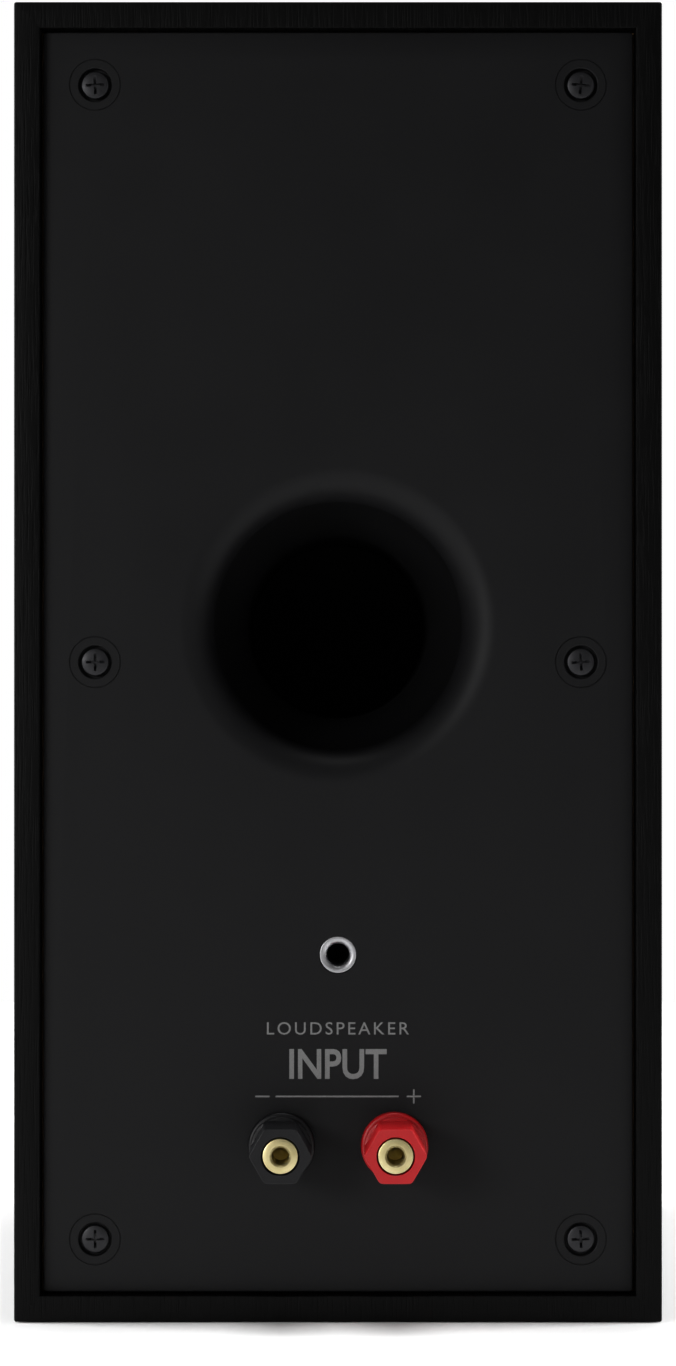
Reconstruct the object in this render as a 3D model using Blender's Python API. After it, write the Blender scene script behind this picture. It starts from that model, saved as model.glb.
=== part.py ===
# A two-way bookshelf speaker. A vinyl-wrapped cabinet with a recessed rear panel, which carries a flared
# port, a threaded insert and two binding posts, and a woofer and a dome tweeter behind a cloth grille.
# Metres, +Z up. The front faces -Y, and the cabinet stands on z = 0 with its middle at x = y = 0.
import math

import bmesh
import bpy
from mathutils import Matrix, Vector

# ---- cabinet
WIDTH = 0.150
HEIGHT = 0.3055
DEPTH = 0.190
WALL = 0.012
BAFFLE_THICK = 0.018
BAFFLE_ROUND = 0.002
RIM = 0.006  # what shows of each board round the rear panel
REBATE_DEPTH = 0.008
CLEAT_WIDTH = 0.014
CLEAT_DEPTH = 0.016

# ---- clearances
GAP = 0.0003  # between pieces that touch or are glued
SLIP = 0.0005  # between pieces that move past each other, and round the rear panel
DRIVER_GAP = 0.0006  # round a driver in its recess

# ---- screws, all of one kind
HEAD_RADIUS = 0.0032
HEAD_THICK = 0.0017
SCREW_RADIUS = 0.00175
SCREW_LENGTH = 0.0155
CROSS_LENGTH = 0.0042
CROSS_WIDTH = 0.0009
CROSS_DEPTH = 0.0011
REAR_SCREW_TURN = 23  # degrees from one screw to the next
DRIVER_SCREW_TURN = 31

# ---- rear panel
PANEL_RECESS = 0.003
PANEL_THICK = 0.003
PANEL_SCREW_X = 0.0186  # in from the cabinet's sides
PANEL_SCREW_Z = 0.01875  # in from its top and bottom
BOSS_RADIUS = 0.0059
COUNTERBORE_GAP = 0.00065
HEAD_SINK = 0.0002  # head below the panel's face
GASKET_MARGIN = 0.001  # to the rebate's inner edge

# ---- port
PORT_RISE = 0.0085  # above mid-height
PORT_MOUTH = 0.037
PORT_ROUND = 0.008
PORT_BORE = 0.022
PORT_WALL = 0.003
BELL_MARGIN = 0.001  # the bell's back starts inside the mouth
BELL_DROP = 0.0015  # and this far behind the panel
TAPER_LENGTH = 0.026
SOCKET_STEP = 0.002  # straight bore before the tube's socket
SOCKET_DEPTH = 0.008
SOCKET_WALL = 0.0024
TUBE_WALL = 0.0018
TUBE_LENGTH = 0.070
TUBE_FLARE = 0.006

# ---- binding posts and threaded insert
POST_SPACING = 0.0262
POST_HEIGHT = 0.0406
COLLAR_RADIUS = 0.0078
COLLAR_THICK = 0.0027
COLLAR_CHAMFER = 0.0006
SPIGOT_RADIUS = 0.005
SPIGOT_LENGTH = 0.002
WASHER_RADIUS = 0.0065
WASHER_THICK = 0.001
CAP_FLATS = 0.0125
CAP_LENGTH = 0.0168
CAP_FLANGE_RADIUS = 0.00705
CAP_FLANGE_THICK = 0.0012
CAP_CLEARANCE = 0.00035
STUD_RADIUS = 0.004
STUD_SINK = 0.0002
STUD_CHAMFER = 0.0003
SHANK_RADIUS = 0.0025
BANANA_RADIUS = 0.002
BANANA_DEPTH = 0.010
BANANA_CHAMFER = 0.0005
DRILL_POINT = 0.6  # depth of a drilled hole's end, by its radius
WIRE_HOLE_RADIUS = 0.0017
NUT_FLATS = 0.008
NUT_LENGTH = 0.0076
INSERT_RISE = 0.0442  # above the posts
INSERT_RADIUS = 0.00425
INSERT_BORE = 0.00255
INSERT_LENGTH = 0.012
INSERT_MOUTH = 0.003
INSERT_RIM = 0.0006
INSERT_BOSS_WALL = 0.003

# ---- crossover and damping
BOARD_WIDTH = 0.092
BOARD_HEIGHT = 0.054
BOARD_THICK = 0.0016
BOARD_BOTTOM = 0.017
STUD_END = 0.0025  # past the board
COIL_RADIUS = 0.013
COIL_HEIGHT = 0.013
COIL_BORE = 0.00585
COIL_FLANGE = 0.001
CAPACITOR_RADIUS = 0.0065
CAPACITOR_LENGTH = 0.032
CAPACITOR_CHAMFER = 0.001
RESISTOR_LENGTH = 0.025
RESISTOR_SIDE = 0.009
RESISTOR_CHAMFER = 0.0006
RESISTOR_DROP = 0.004  # below the board's top edge
PART_X = 0.030  # coil and capacitor either side of the middle
CABLE_RADIUS = 0.00175
WADDING_THICK = 0.026
WADDING_DEPTH = 0.115
WADDING_SIDE_GAP = 0.003
WADDING_TOP_GAP = 0.001
WADDING_ROUND = 0.006

# ---- woofer
WOOFER_RADIUS = 0.059
FLANGE_THICK = 0.0032
FLANGE_SINK = 0.0005
SEAT_RADIUS = 0.051  # the surround's seat and the hole in the baffle
SEAT_WIDTH = 0.0033
SEAT_DEPTH = 0.002
BASKET_SLIP = 0.0008
CUP_RADIUS = 0.0432
CUP_DEPTH = 0.0335
CUP_FLOOR = 0.0025
CUP_HOLE = 0.020
BASKET_BEND = 0.002
LEDGE_RADIUS = 0.0405
LEDGE_WIDTH = 0.006
LEDGE_DEPTH = 0.0255
WINDOWS = 6
WINDOW_WIDTH = 0.027
WINDOW_TOP = 0.009
WINDOW_BOTTOM = 0.022
WINDOW_START = 30  # degrees
ROLL_CENTRE = 0.0442
ROLL_RADIUS = 0.004
SURROUND_THICK = 0.0008
CONE_LIP = 0.003
CONE_DEPTH = 0.019
CONE_THICK = 0.0009
CONE_CURVE = 1.3
DUST_CAP_MARGIN = 0.0034  # its radius, past the cone's neck
DUST_CAP_RISE = 0.0065
DUST_CAP_THICK = 0.0005
FORMER_RADIUS = 0.0127
FORMER_THICK = 0.0004
FORMER_RISE = 0.0035  # above the cone's neck
FORMER_LENGTH = 0.026
WINDING_LENGTH = 0.012
WINDING_END = 0.001  # bare former past the winding
WINDING_THICK = 0.0006
SPIDER_THICK = 0.0006
SPIDER_WAVES = 3
SPIDER_WAVE_HEIGHT = 0.001
SPIDER_COLLAR = 0.003  # flat cloth before the first wave
SPIDER_RIM = 0.001
WOOFER_PLATE_RADIUS = 0.034
WOOFER_PLATE_THICK = 0.004
WOOFER_MAGNET_RADIUS = 0.038
WOOFER_MAGNET_CLEARANCE = 0.0028  # past the plate's bore
WOOFER_MAGNET_THICK = 0.014
VENT_RADIUS = 0.004

# ---- tweeter
TWEETER_RADIUS = 0.048
HORN_MOUTH = 0.038
HORN_THROAT = 0.018
HORN_DEPTH = 0.0115
HORN_WALL = 0.0024
TWEETER_FLANGE = 0.033
DOME_RADIUS = 0.0123
DOME_RISE = 0.0052
DOME_THICK = 0.0004
SUSPENSION_THICK = 0.0005
SUSPENSION_ROLL = 0.00145
DOME_COIL_THICK = 0.001
DOME_COIL_LENGTH = 0.0048
TWEETER_PLATE_RADIUS = 0.030
TWEETER_PLATE_THICK = 0.003
TWEETER_MAGNET_BORE = 0.016
TWEETER_MAGNET_THICK = 0.008
TWEETER_YOKE_RADIUS = 0.027

# ---- terminal blocks on the drivers
BLOCK_WIDTH = 0.012
BLOCK_DEPTH = 0.0065
BLOCK_REACH = 0.0065
TWEETER_BLOCK_REACH = 0.0052
BLOCK_ROOT = 0.002  # into the basket

# ---- grille
GRILLE_INSET = 0.004
GRILLE_CORNER = 0.004
GRILLE_WINDOW_CORNER = 0.0015
GRILLE_BAR = 0.012
GRILLE_THICK = 0.008
GRILLE_STANDOFF = 0.0005
CLOTH_THICK = 0.0006
PEG_RADIUS = 0.003
PEG_LENGTH = 0.009

# ---- sides of the round pieces, by size
LARGE = 28
MEDIUM = 24
SMALL = 14
TINY = 10

# ---- worked out from the sizes above
PANEL_Y = DEPTH / 2 - PANEL_RECESS
LEDGE = PANEL_RECESS - REBATE_DEPTH  # the rebate's shoulder, as seen from the panel's face
BOARD_BACK = -PANEL_THICK - GAP - NUT_LENGTH - GAP
BOARD_FRONT = BOARD_BACK - BOARD_THICK
PORT_HEIGHT = HEIGHT / 2 + PORT_RISE
INSERT_HEIGHT = POST_HEIGHT + INSERT_RISE
COLLAR_TOP = GAP + COLLAR_THICK
WASHER_TOP = COLLAR_TOP + GAP + WASHER_THICK
CAP_BOTTOM = WASHER_TOP + GAP
CAP_TOP = CAP_BOTTOM + CAP_LENGTH
SCREW_HOLE = SCREW_RADIUS + GAP
FLANGE_BACK = -FLANGE_SINK - FLANGE_THICK
DRIVER_SPACE = (HEIGHT - 2 * WOOFER_RADIUS - 2 * TWEETER_RADIUS) / 3
WOOFER_HEIGHT = DRIVER_SPACE + WOOFER_RADIUS
TWEETER_HEIGHT = HEIGHT - DRIVER_SPACE - TWEETER_RADIUS
WOOFER_SCREW_CIRCLE = (SEAT_RADIUS + WOOFER_RADIUS) / 2
TWEETER_HOLE = HORN_MOUTH + HORN_WALL
TWEETER_SCREW_CIRCLE = (TWEETER_HOLE + TWEETER_RADIUS) / 2
CONE_RADIUS = ROLL_CENTRE - ROLL_RADIUS
SURROUND_BASE = -FLANGE_SINK - SEAT_DEPTH + GAP
CONE_TOP = SURROUND_BASE - GAP
FORMER_OUTER = FORMER_RADIUS + FORMER_THICK
CONE_NECK = FORMER_OUTER + SLIP
WOOFER_POLE = FORMER_RADIUS - SLIP
WOOFER_PLATE_BORE = FORMER_OUTER + WINDING_THICK + SLIP
DUST_CAP_RADIUS = CONE_NECK + DUST_CAP_MARGIN
FORMER_TOP = CONE_TOP - CONE_DEPTH + FORMER_RISE
CUP_BACK = -FLANGE_SINK - CUP_DEPTH
LEDGE_TOP = -FLANGE_SINK - LEDGE_DEPTH
WOOFER_PLATE_TOP = CUP_BACK - GAP
WOOFER_MAGNET_TOP = WOOFER_PLATE_TOP - WOOFER_PLATE_THICK - GAP
WOOFER_YOKE_TOP = WOOFER_MAGNET_TOP - WOOFER_MAGNET_THICK - GAP
HORN_END = -FLANGE_SINK - HORN_DEPTH
TWEETER_FLANGE_BACK = HORN_END - HORN_WALL
TWEETER_PLATE_TOP = TWEETER_FLANGE_BACK - GAP
TWEETER_MAGNET_TOP = TWEETER_PLATE_TOP - TWEETER_PLATE_THICK - GAP
TWEETER_YOKE_TOP = TWEETER_MAGNET_TOP - TWEETER_MAGNET_THICK - GAP
DOME_COIL_RADIUS = DOME_RADIUS - DOME_THICK
DOME_COIL_OUTER = DOME_COIL_RADIUS + DOME_COIL_THICK
WOOFER_BLOCK_END = CUP_RADIUS + BLOCK_REACH
WOOFER_BLOCK_BACK = CUP_BACK + SLIP
TWEETER_BLOCK_END = TWEETER_FLANGE + TWEETER_BLOCK_REACH
TWEETER_BLOCK_BACK = TWEETER_FLANGE_BACK - BLOCK_DEPTH / 2
GRILLE_HALF_WIDTH = WIDTH / 2 - GRILLE_INSET - CLOTH_THICK - GAP
GRILLE_HALF_HEIGHT = HEIGHT / 2 - GRILLE_INSET - CLOTH_THICK - GAP
GRILLE_FRONT = GRILLE_STANDOFF + GRILLE_THICK
PEG_X = GRILLE_HALF_WIDTH - GRILLE_BAR / 2
PEG_Z = GRILLE_HALF_HEIGHT - GRILLE_BAR / 2
CROSSBAR_HEIGHT = (WOOFER_HEIGHT + WOOFER_RADIUS + TWEETER_HEIGHT - TWEETER_RADIUS) / 2
PANEL_SCREWS = [
    (side * (WIDTH / 2 - PANEL_SCREW_X), height)
    for height in (PANEL_SCREW_Z, HEIGHT / 2, HEIGHT - PANEL_SCREW_Z)
    for side in (-1, 1)
]

# ---- materials: base colour, roughness, metallic
FINISHES = {
    "black_vinyl": ((0.010, 0.009, 0.009), 0.45, 0.0),
    "baffle_lacquer": ((0.008, 0.008, 0.008), 0.55, 0.0),
    "raw_board": ((0.36, 0.24, 0.14), 0.85, 0.0),
    "black_plastic": ((0.012, 0.012, 0.012), 0.40, 0.0),
    "red_plastic": ((0.40, 0.010, 0.013), 0.30, 0.0),
    "gold_plate": ((0.70, 0.57, 0.30), 0.30, 1.0),
    "black_steel": ((0.020, 0.020, 0.022), 0.40, 0.8),
    "zinc_steel": ((0.55, 0.56, 0.58), 0.35, 1.0),
    "foam": ((0.025, 0.025, 0.025), 0.95, 0.0),
    "circuit_board": ((0.020, 0.100, 0.040), 0.45, 0.0),
    "copper_winding": ((0.55, 0.19, 0.07), 0.35, 0.9),
    "capacitor_film": ((0.45, 0.30, 0.05), 0.35, 0.0),
    "ceramic": ((0.70, 0.68, 0.62), 0.80, 0.0),
    "cable_jacket": ((0.030, 0.030, 0.032), 0.50, 0.0),
    "wadding": ((0.75, 0.74, 0.70), 1.0, 0.0),
    "stamped_steel": ((0.030, 0.030, 0.032), 0.45, 0.6),
    "rubber": ((0.012, 0.012, 0.012), 0.70, 0.0),
    "cone_paper": ((0.030, 0.028, 0.026), 0.80, 0.0),
    "spider_cloth": ((0.45, 0.30, 0.10), 0.90, 0.0),
    "former_foil": ((0.60, 0.40, 0.20), 0.40, 0.6),
    "ferrite": ((0.045, 0.045, 0.050), 0.65, 0.2),
    "dome_silk": ((0.020, 0.020, 0.022), 0.60, 0.0),
    "grille_cloth": ((0.012, 0.012, 0.013), 0.95, 0.0),
}


def clear_scene():
    for old in list(bpy.data.objects):
        bpy.data.objects.remove(old)


def finish(name):
    found = bpy.data.materials.get(name)
    if found:
        return found
    color, roughness, metallic = FINISHES[name]
    made = bpy.data.materials.new(name)
    made.use_nodes = True
    shader = made.node_tree.nodes["Principled BSDF"]
    shader.inputs["Base Color"].default_value = (*color, 1.0)
    shader.inputs["Roughness"].default_value = roughness
    shader.inputs["Metallic"].default_value = metallic
    return made


# An empty whose +Z points out of the front or the rear of the cabinet, with its +Y up.
def axis(name, x, y, z, faces_rear=False):
    empty = bpy.data.objects.new(name, None)
    empty.location = (x, y, z)
    empty.rotation_euler = (math.pi / 2, 0, math.pi if faces_rear else 0)
    bpy.context.scene.collection.objects.link(empty)
    return empty


def add_object(name, data, parent, material=None, location=(0, 0, 0), turn=0.0):
    made = bpy.data.objects.new(name, data)
    made.parent = parent
    made.location = location
    made.rotation_euler = (0, 0, turn)
    if material and not data.materials:
        data.materials.append(finish(material))
    bpy.context.scene.collection.objects.link(made)
    return made


def to_mesh(bm, name):
    bmesh.ops.remove_doubles(bm, verts=bm.verts, dist=1e-6)
    bmesh.ops.recalc_face_normals(bm, faces=bm.faces)
    mesh = bpy.data.meshes.new(name)
    bm.to_mesh(mesh)
    bm.free()
    mesh.shade_smooth()
    mesh.set_sharp_from_angle(angle=math.radians(35))
    return mesh


def piece(name, bm, parent, material):
    return add_object(name, to_mesh(bm, name), parent, material)


def helper(name, bm, parent):
    shape = add_object(name, to_mesh(bm, name), parent)
    shape.hide_render = True
    shape.display_type = "WIRE"
    return shape


def boolean(target, operation, name, bm):
    step = target.modifiers.new(name, "BOOLEAN")
    step.operation = operation
    step.solver = "EXACT"
    step.object = helper(name, bm, target.parent)


# Turns an outline of (radius, height) points about Z. One that starts and ends on the axis stays open there.
def turned(bm, outline, steps, centre=(0.0, 0.0)):
    x, y = centre
    ring = [bm.verts.new((x + radius, y, height)) for radius, height in outline]
    on_axis = outline[0][0] == 0 and outline[-1][0] == 0
    ends = ring[1:] if on_axis else ring[1:] + ring[:1]
    edges = [bm.edges.new(pair) for pair in zip(ring, ends)]
    bmesh.ops.spin(
        bm, geom=ring + edges, cent=(x, y, 0), axis=(0, 0, 1), angle=2 * math.pi, steps=steps, use_merge=True
    )


def cylinder(bm, radius, low, high, steps, centre=(0.0, 0.0)):
    turned(bm, [(0, low), (radius, low), (radius, high), (0, high)], steps, centre)


def tube(bm, inner, outer, low, high, steps, centre=(0.0, 0.0)):
    turned(bm, [(inner, low), (outer, low), (outer, high), (inner, high)], steps, centre)


# Extrudes a flat outline of (x, y) points from one height to another.
def prism(bm, outline, low, high):
    face = bm.faces.new([bm.verts.new((x, y, low)) for x, y in outline])
    grown = bmesh.ops.extrude_face_region(bm, geom=[face])["geom"]
    corners = [item for item in grown if isinstance(item, bmesh.types.BMVert)]
    bmesh.ops.translate(bm, verts=corners, vec=(0, 0, high - low))


def box(bm, low, high):
    outline = [(low[0], low[1]), (high[0], low[1]), (high[0], high[1]), (low[0], high[1])]
    prism(bm, outline, low[2], high[2])


def arc(centre, radii, start, end, steps):
    angles = [math.radians(start + (end - start) * step / steps) for step in range(steps + 1)]
    return [(centre[0] + radii[0] * math.cos(a), centre[1] + radii[1] * math.sin(a)) for a in angles]


def rounded_rectangle(half_width, half_height, radius, middle=(0.0, 0.0), steps=4):
    outline = []
    for quarter, (sx, sy) in enumerate([(1, 1), (-1, 1), (-1, -1), (1, -1)]):
        corner = (middle[0] + sx * (half_width - radius), middle[1] + sy * (half_height - radius))
        outline += arc(corner, (radius, radius), 90 * quarter, 90 * quarter + 90, steps)
    return outline


def hexagon(flats):
    reach = flats / math.sqrt(3)
    angles = [math.radians(60 * k) for k in range(6)]
    return [(reach * math.cos(a), reach * math.sin(a)) for a in angles]


def around(circle, count, start):
    angles = [math.radians(start + 360 * k / count) for k in range(count)]
    return [(circle * math.cos(a), circle * math.sin(a)) for a in angles]


# ---- cabinet
# One board with mitred ends. Its section runs inward from the outer face and along the cabinet's depth.
def board(name, length, turn, location):
    front = -DEPTH / 2 + BAFFLE_THICK + GAP
    rear = DEPTH / 2
    shoulder = rear - REBATE_DEPTH
    section = [(0, front), (WALL, front), (WALL, shoulder), (RIM, shoulder), (RIM, rear), (0, rear)]
    mitre = GAP / math.sqrt(2)
    bm = bmesh.new()
    ends = []
    for side in (-1, 1):
        ends.append([bm.verts.new((side * (length / 2 - deep - mitre), y, -deep)) for deep, y in section])
        bm.faces.new(ends[-1])
    for k in range(len(section)):
        bm.faces.new((ends[0][k - 1], ends[0][k], ends[1][k], ends[1][k - 1]))
    made = piece(name, bm, None, "black_vinyl")
    made.location = location
    made.rotation_euler = (0, turn, 0)


def cabinet():
    board("cabinet_top", WIDTH, 0, (0, 0, HEIGHT))
    board("cabinet_bottom", WIDTH, math.pi, (0, 0, 0))
    board("cabinet_left", HEIGHT, -math.pi / 2, (-WIDTH / 2, 0, HEIGHT / 2))
    board("cabinet_right", HEIGHT, math.pi / 2, (WIDTH / 2, 0, HEIGHT / 2))


def front_baffle(front):
    bm = bmesh.new()
    box(bm, (-WIDTH / 2, 0, -BAFFLE_THICK), (WIDTH / 2, HEIGHT, 0))
    edges = [edge for edge in bm.edges if all(v.co.z > -BAFFLE_ROUND for v in edge.verts)]
    bmesh.ops.bevel(bm, geom=edges, offset=BAFFLE_ROUND, segments=3, profile=0.5, affect="EDGES")
    baffle = piece("front_baffle", bm, front, "baffle_lacquer")
    seat = FLANGE_BACK - GAP
    past = BAFFLE_THICK + GAP
    bm = bmesh.new()
    for height, radius, hole in (
        (WOOFER_HEIGHT, WOOFER_RADIUS, SEAT_RADIUS),
        (TWEETER_HEIGHT, TWEETER_RADIUS, TWEETER_HOLE + GAP),
    ):
        recess = radius + DRIVER_GAP
        outline = [(0, -past), (hole, -past), (hole, seat), (recess, seat), (recess, GAP), (0, GAP)]
        turned(bm, outline, LARGE + 8, (0, height))
    for sx in (-1, 1):
        for sz in (-1, 1):
            centre = (sx * PEG_X, HEIGHT / 2 + sz * PEG_Z)
            cylinder(bm, PEG_RADIUS + GAP, -PEG_LENGTH - SLIP, GAP, SMALL, centre)
    boolean(baffle, "DIFFERENCE", "cut_driver_recesses", bm)
    bm = bmesh.new()
    for height, circle in ((WOOFER_HEIGHT, WOOFER_SCREW_CIRCLE), (TWEETER_HEIGHT, TWEETER_SCREW_CIRCLE)):
        for x, y in around(circle, 4, 45):
            cylinder(bm, SCREW_HOLE, -SCREW_LENGTH - SLIP, seat + GAP, TINY, (x, y + height))
    boolean(baffle, "DIFFERENCE", "cut_driver_screws", bm)


def rear_cleats(rear):
    inner = WIDTH / 2 - WALL - GAP
    for name, side in (("rear_cleat_left", 1), ("rear_cleat_right", -1)):
        bm = bmesh.new()
        sides = sorted((side * inner, side * (inner - CLEAT_WIDTH)))
        low = (sides[0], WALL + GAP, LEDGE - CLEAT_DEPTH)
        high = (sides[1], HEIGHT - WALL - GAP, LEDGE)
        box(bm, low, high)
        cleat = piece(name, bm, rear, "raw_board")
        bm = bmesh.new()
        deepest = -HEAD_SINK - HEAD_THICK - SCREW_LENGTH - GAP
        for x, y in PANEL_SCREWS:
            if x * side > 0:
                cylinder(bm, SCREW_HOLE, deepest, LEDGE + GAP, TINY, (x, y))
        boolean(cleat, "DIFFERENCE", "cut_" + name, bm)


# ---- rear panel and what it carries
def taper(steps):
    drop = PORT_MOUTH - PORT_ROUND - PORT_BORE
    for step in range(1, steps + 1):
        along = step / steps
        yield PORT_BORE + drop * (1 + math.cos(math.pi * along)) / 2, -PORT_ROUND - TAPER_LENGTH * along


def rear_panel(rear):
    half_width = WIDTH / 2 - RIM - SLIP
    half_height = HEIGHT / 2 - RIM - SLIP
    bm = bmesh.new()
    box(bm, (-half_width, HEIGHT / 2 - half_height, -PANEL_THICK), (half_width, HEIGHT / 2 + half_height, 0))
    panel = piece("rear_panel", bm, rear, "black_plastic")

    inside = -PANEL_THICK / 2
    throat = PORT_MOUTH - PORT_ROUND
    socket_top = -PORT_ROUND - TAPER_LENGTH - SOCKET_STEP
    socket_end = socket_top - SOCKET_DEPTH
    socket = PORT_BORE + TUBE_WALL + GAP
    bm = bmesh.new()
    collar = socket + SOCKET_WALL
    rim = PORT_MOUTH - BELL_MARGIN
    bell = [(0, inside), (rim, inside), (rim, -PANEL_THICK - BELL_DROP), (throat + PORT_WALL, -PORT_ROUND)]
    bell += [(radius + PORT_WALL, height) for radius, height in taper(3) if radius + PORT_WALL > collar]
    bell += [(collar, socket_top), (collar, socket_end), (0, socket_end)]
    turned(bm, bell, LARGE, (0, PORT_HEIGHT))
    for spot in PANEL_SCREWS:
        cylinder(bm, BOSS_RADIUS, LEDGE + GAP, inside, SMALL, spot)
    boss = INSERT_RADIUS + GAP + INSERT_BOSS_WALL
    cylinder(bm, boss, -INSERT_LENGTH - GAP, inside, SMALL, (0, INSERT_HEIGHT))
    boolean(panel, "UNION", "add_panel_bosses", bm)

    bm = bmesh.new()
    bore = [(0, GAP), (PORT_MOUTH + GAP, GAP)]
    bore += arc((PORT_MOUTH, -PORT_ROUND), (-PORT_ROUND, PORT_ROUND), 90, 0, 4)
    bore += list(taper(3))
    bore += [(PORT_BORE, socket_top), (socket, socket_top), (socket, socket_end - GAP), (0, socket_end - GAP)]
    turned(bm, bore, LARGE, (0, PORT_HEIGHT))
    head = HEAD_RADIUS + COUNTERBORE_GAP
    floor = -HEAD_SINK - HEAD_THICK - GAP
    end = LEDGE - GAP
    for spot in PANEL_SCREWS:
        drill = [(0, end), (SCREW_HOLE, end), (SCREW_HOLE, floor), (head, floor), (head, GAP), (0, GAP)]
        turned(bm, drill, SMALL, spot)
    for side in (-1, 1):
        spot = (side * POST_SPACING / 2, POST_HEIGHT)
        cylinder(bm, SPIGOT_RADIUS + GAP, -PANEL_THICK - GAP, GAP, MEDIUM, spot)
    cylinder(bm, INSERT_RADIUS + GAP, -INSERT_LENGTH - 2 * GAP, GAP, SMALL, (0, INSERT_HEIGHT))
    boolean(panel, "DIFFERENCE", "cut_panel_holes", bm)


def rear_gasket(rear):
    low = LEDGE + GAP
    high = -PANEL_THICK - GAP
    half_width = WIDTH / 2 - RIM - GAP
    half_height = HEIGHT / 2 - RIM - GAP
    width = WALL - RIM - GASKET_MARGIN
    bm = bmesh.new()
    box(bm, (-half_width, HEIGHT / 2 - half_height, low), (half_width, HEIGHT / 2 + half_height, high))
    gasket = piece("rear_gasket", bm, rear, "foam")
    bm = bmesh.new()
    half_width -= width
    half_height -= width
    near = (-half_width, HEIGHT / 2 - half_height, low - GAP)
    far = (half_width, HEIGHT / 2 + half_height, high + GAP)
    box(bm, near, far)
    boolean(gasket, "DIFFERENCE", "cut_gasket", bm)


def port_tube(rear):
    start = -PORT_ROUND - TAPER_LENGTH - SOCKET_STEP - GAP
    bend = start - TUBE_LENGTH + TUBE_FLARE
    lip = PORT_BORE + TUBE_FLARE
    small = TUBE_FLARE - TUBE_WALL
    outline = [(PORT_BORE, start)]
    outline += arc((lip, bend), (-TUBE_FLARE, -TUBE_FLARE), 0, 90, 3)
    outline += arc((lip, bend), (-small, -small), 90, 0, 3)
    outline.append((PORT_BORE + TUBE_WALL, start))
    bm = bmesh.new()
    turned(bm, outline, LARGE, (0, PORT_HEIGHT))
    piece("port_tube", bm, rear, "black_plastic")


def cross_outline():
    long, short = CROSS_LENGTH / 2, CROSS_WIDTH / 2
    outline = []
    for quarter in range(4):
        a = math.pi / 2 * quarter
        for x, y in ((long, -short), (long, short), (short, short)):
            outline.append((x * math.cos(a) - y * math.sin(a), x * math.sin(a) + y * math.cos(a)))
    return outline


# A screw with its head's underside at z = 0. The cross is cut once, and every screw shares the mesh.
def screw_mesh():
    point = -SCREW_LENGTH + SCREW_RADIUS * 1.5
    outline = [(0, -SCREW_LENGTH), (SCREW_RADIUS, point), (SCREW_RADIUS, 0), (HEAD_RADIUS, 0)]
    outline += [(HEAD_RADIUS, HEAD_THICK), (0, HEAD_THICK)]
    bm = bmesh.new()
    turned(bm, outline, TINY)
    pattern = piece("screw_pattern", bm, None, "black_steel")
    pattern.hide_render = True
    bm = bmesh.new()
    prism(bm, cross_outline(), HEAD_THICK - CROSS_DEPTH, HEAD_THICK + GAP)
    boolean(pattern, "DIFFERENCE", "cut_cross", bm)
    scene = bpy.context.evaluated_depsgraph_get()
    mesh = bpy.data.meshes.new_from_object(pattern.evaluated_get(scene))
    bpy.data.objects.remove(bpy.data.objects["cut_cross"])
    bpy.data.objects.remove(pattern)
    return mesh


def rear_screws(rear, mesh):
    for number, (x, y) in enumerate(PANEL_SCREWS, start=1):
        turn = math.radians(REAR_SCREW_TURN * number)
        place = (x, y, -HEAD_SINK - HEAD_THICK)
        add_object(f"rear_screw_{number}", mesh, rear, None, place, turn)


def threaded_insert(rear):
    top = -HEAD_SINK / 2
    bottom = -INSERT_LENGTH
    rim = INSERT_RADIUS - INSERT_RIM
    outline = [(INSERT_BORE, bottom), (INSERT_RADIUS, bottom), (INSERT_RADIUS, top), (rim, top)]
    throat = (rim - INSERT_BORE, INSERT_MOUTH)
    outline += arc((rim, top - INSERT_MOUTH), (-throat[0], throat[1]), 72, 0, 3)
    bm = bmesh.new()
    turned(bm, outline, SMALL, (0, INSERT_HEIGHT))
    piece("threaded_insert", bm, rear, "zinc_steel")


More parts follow.
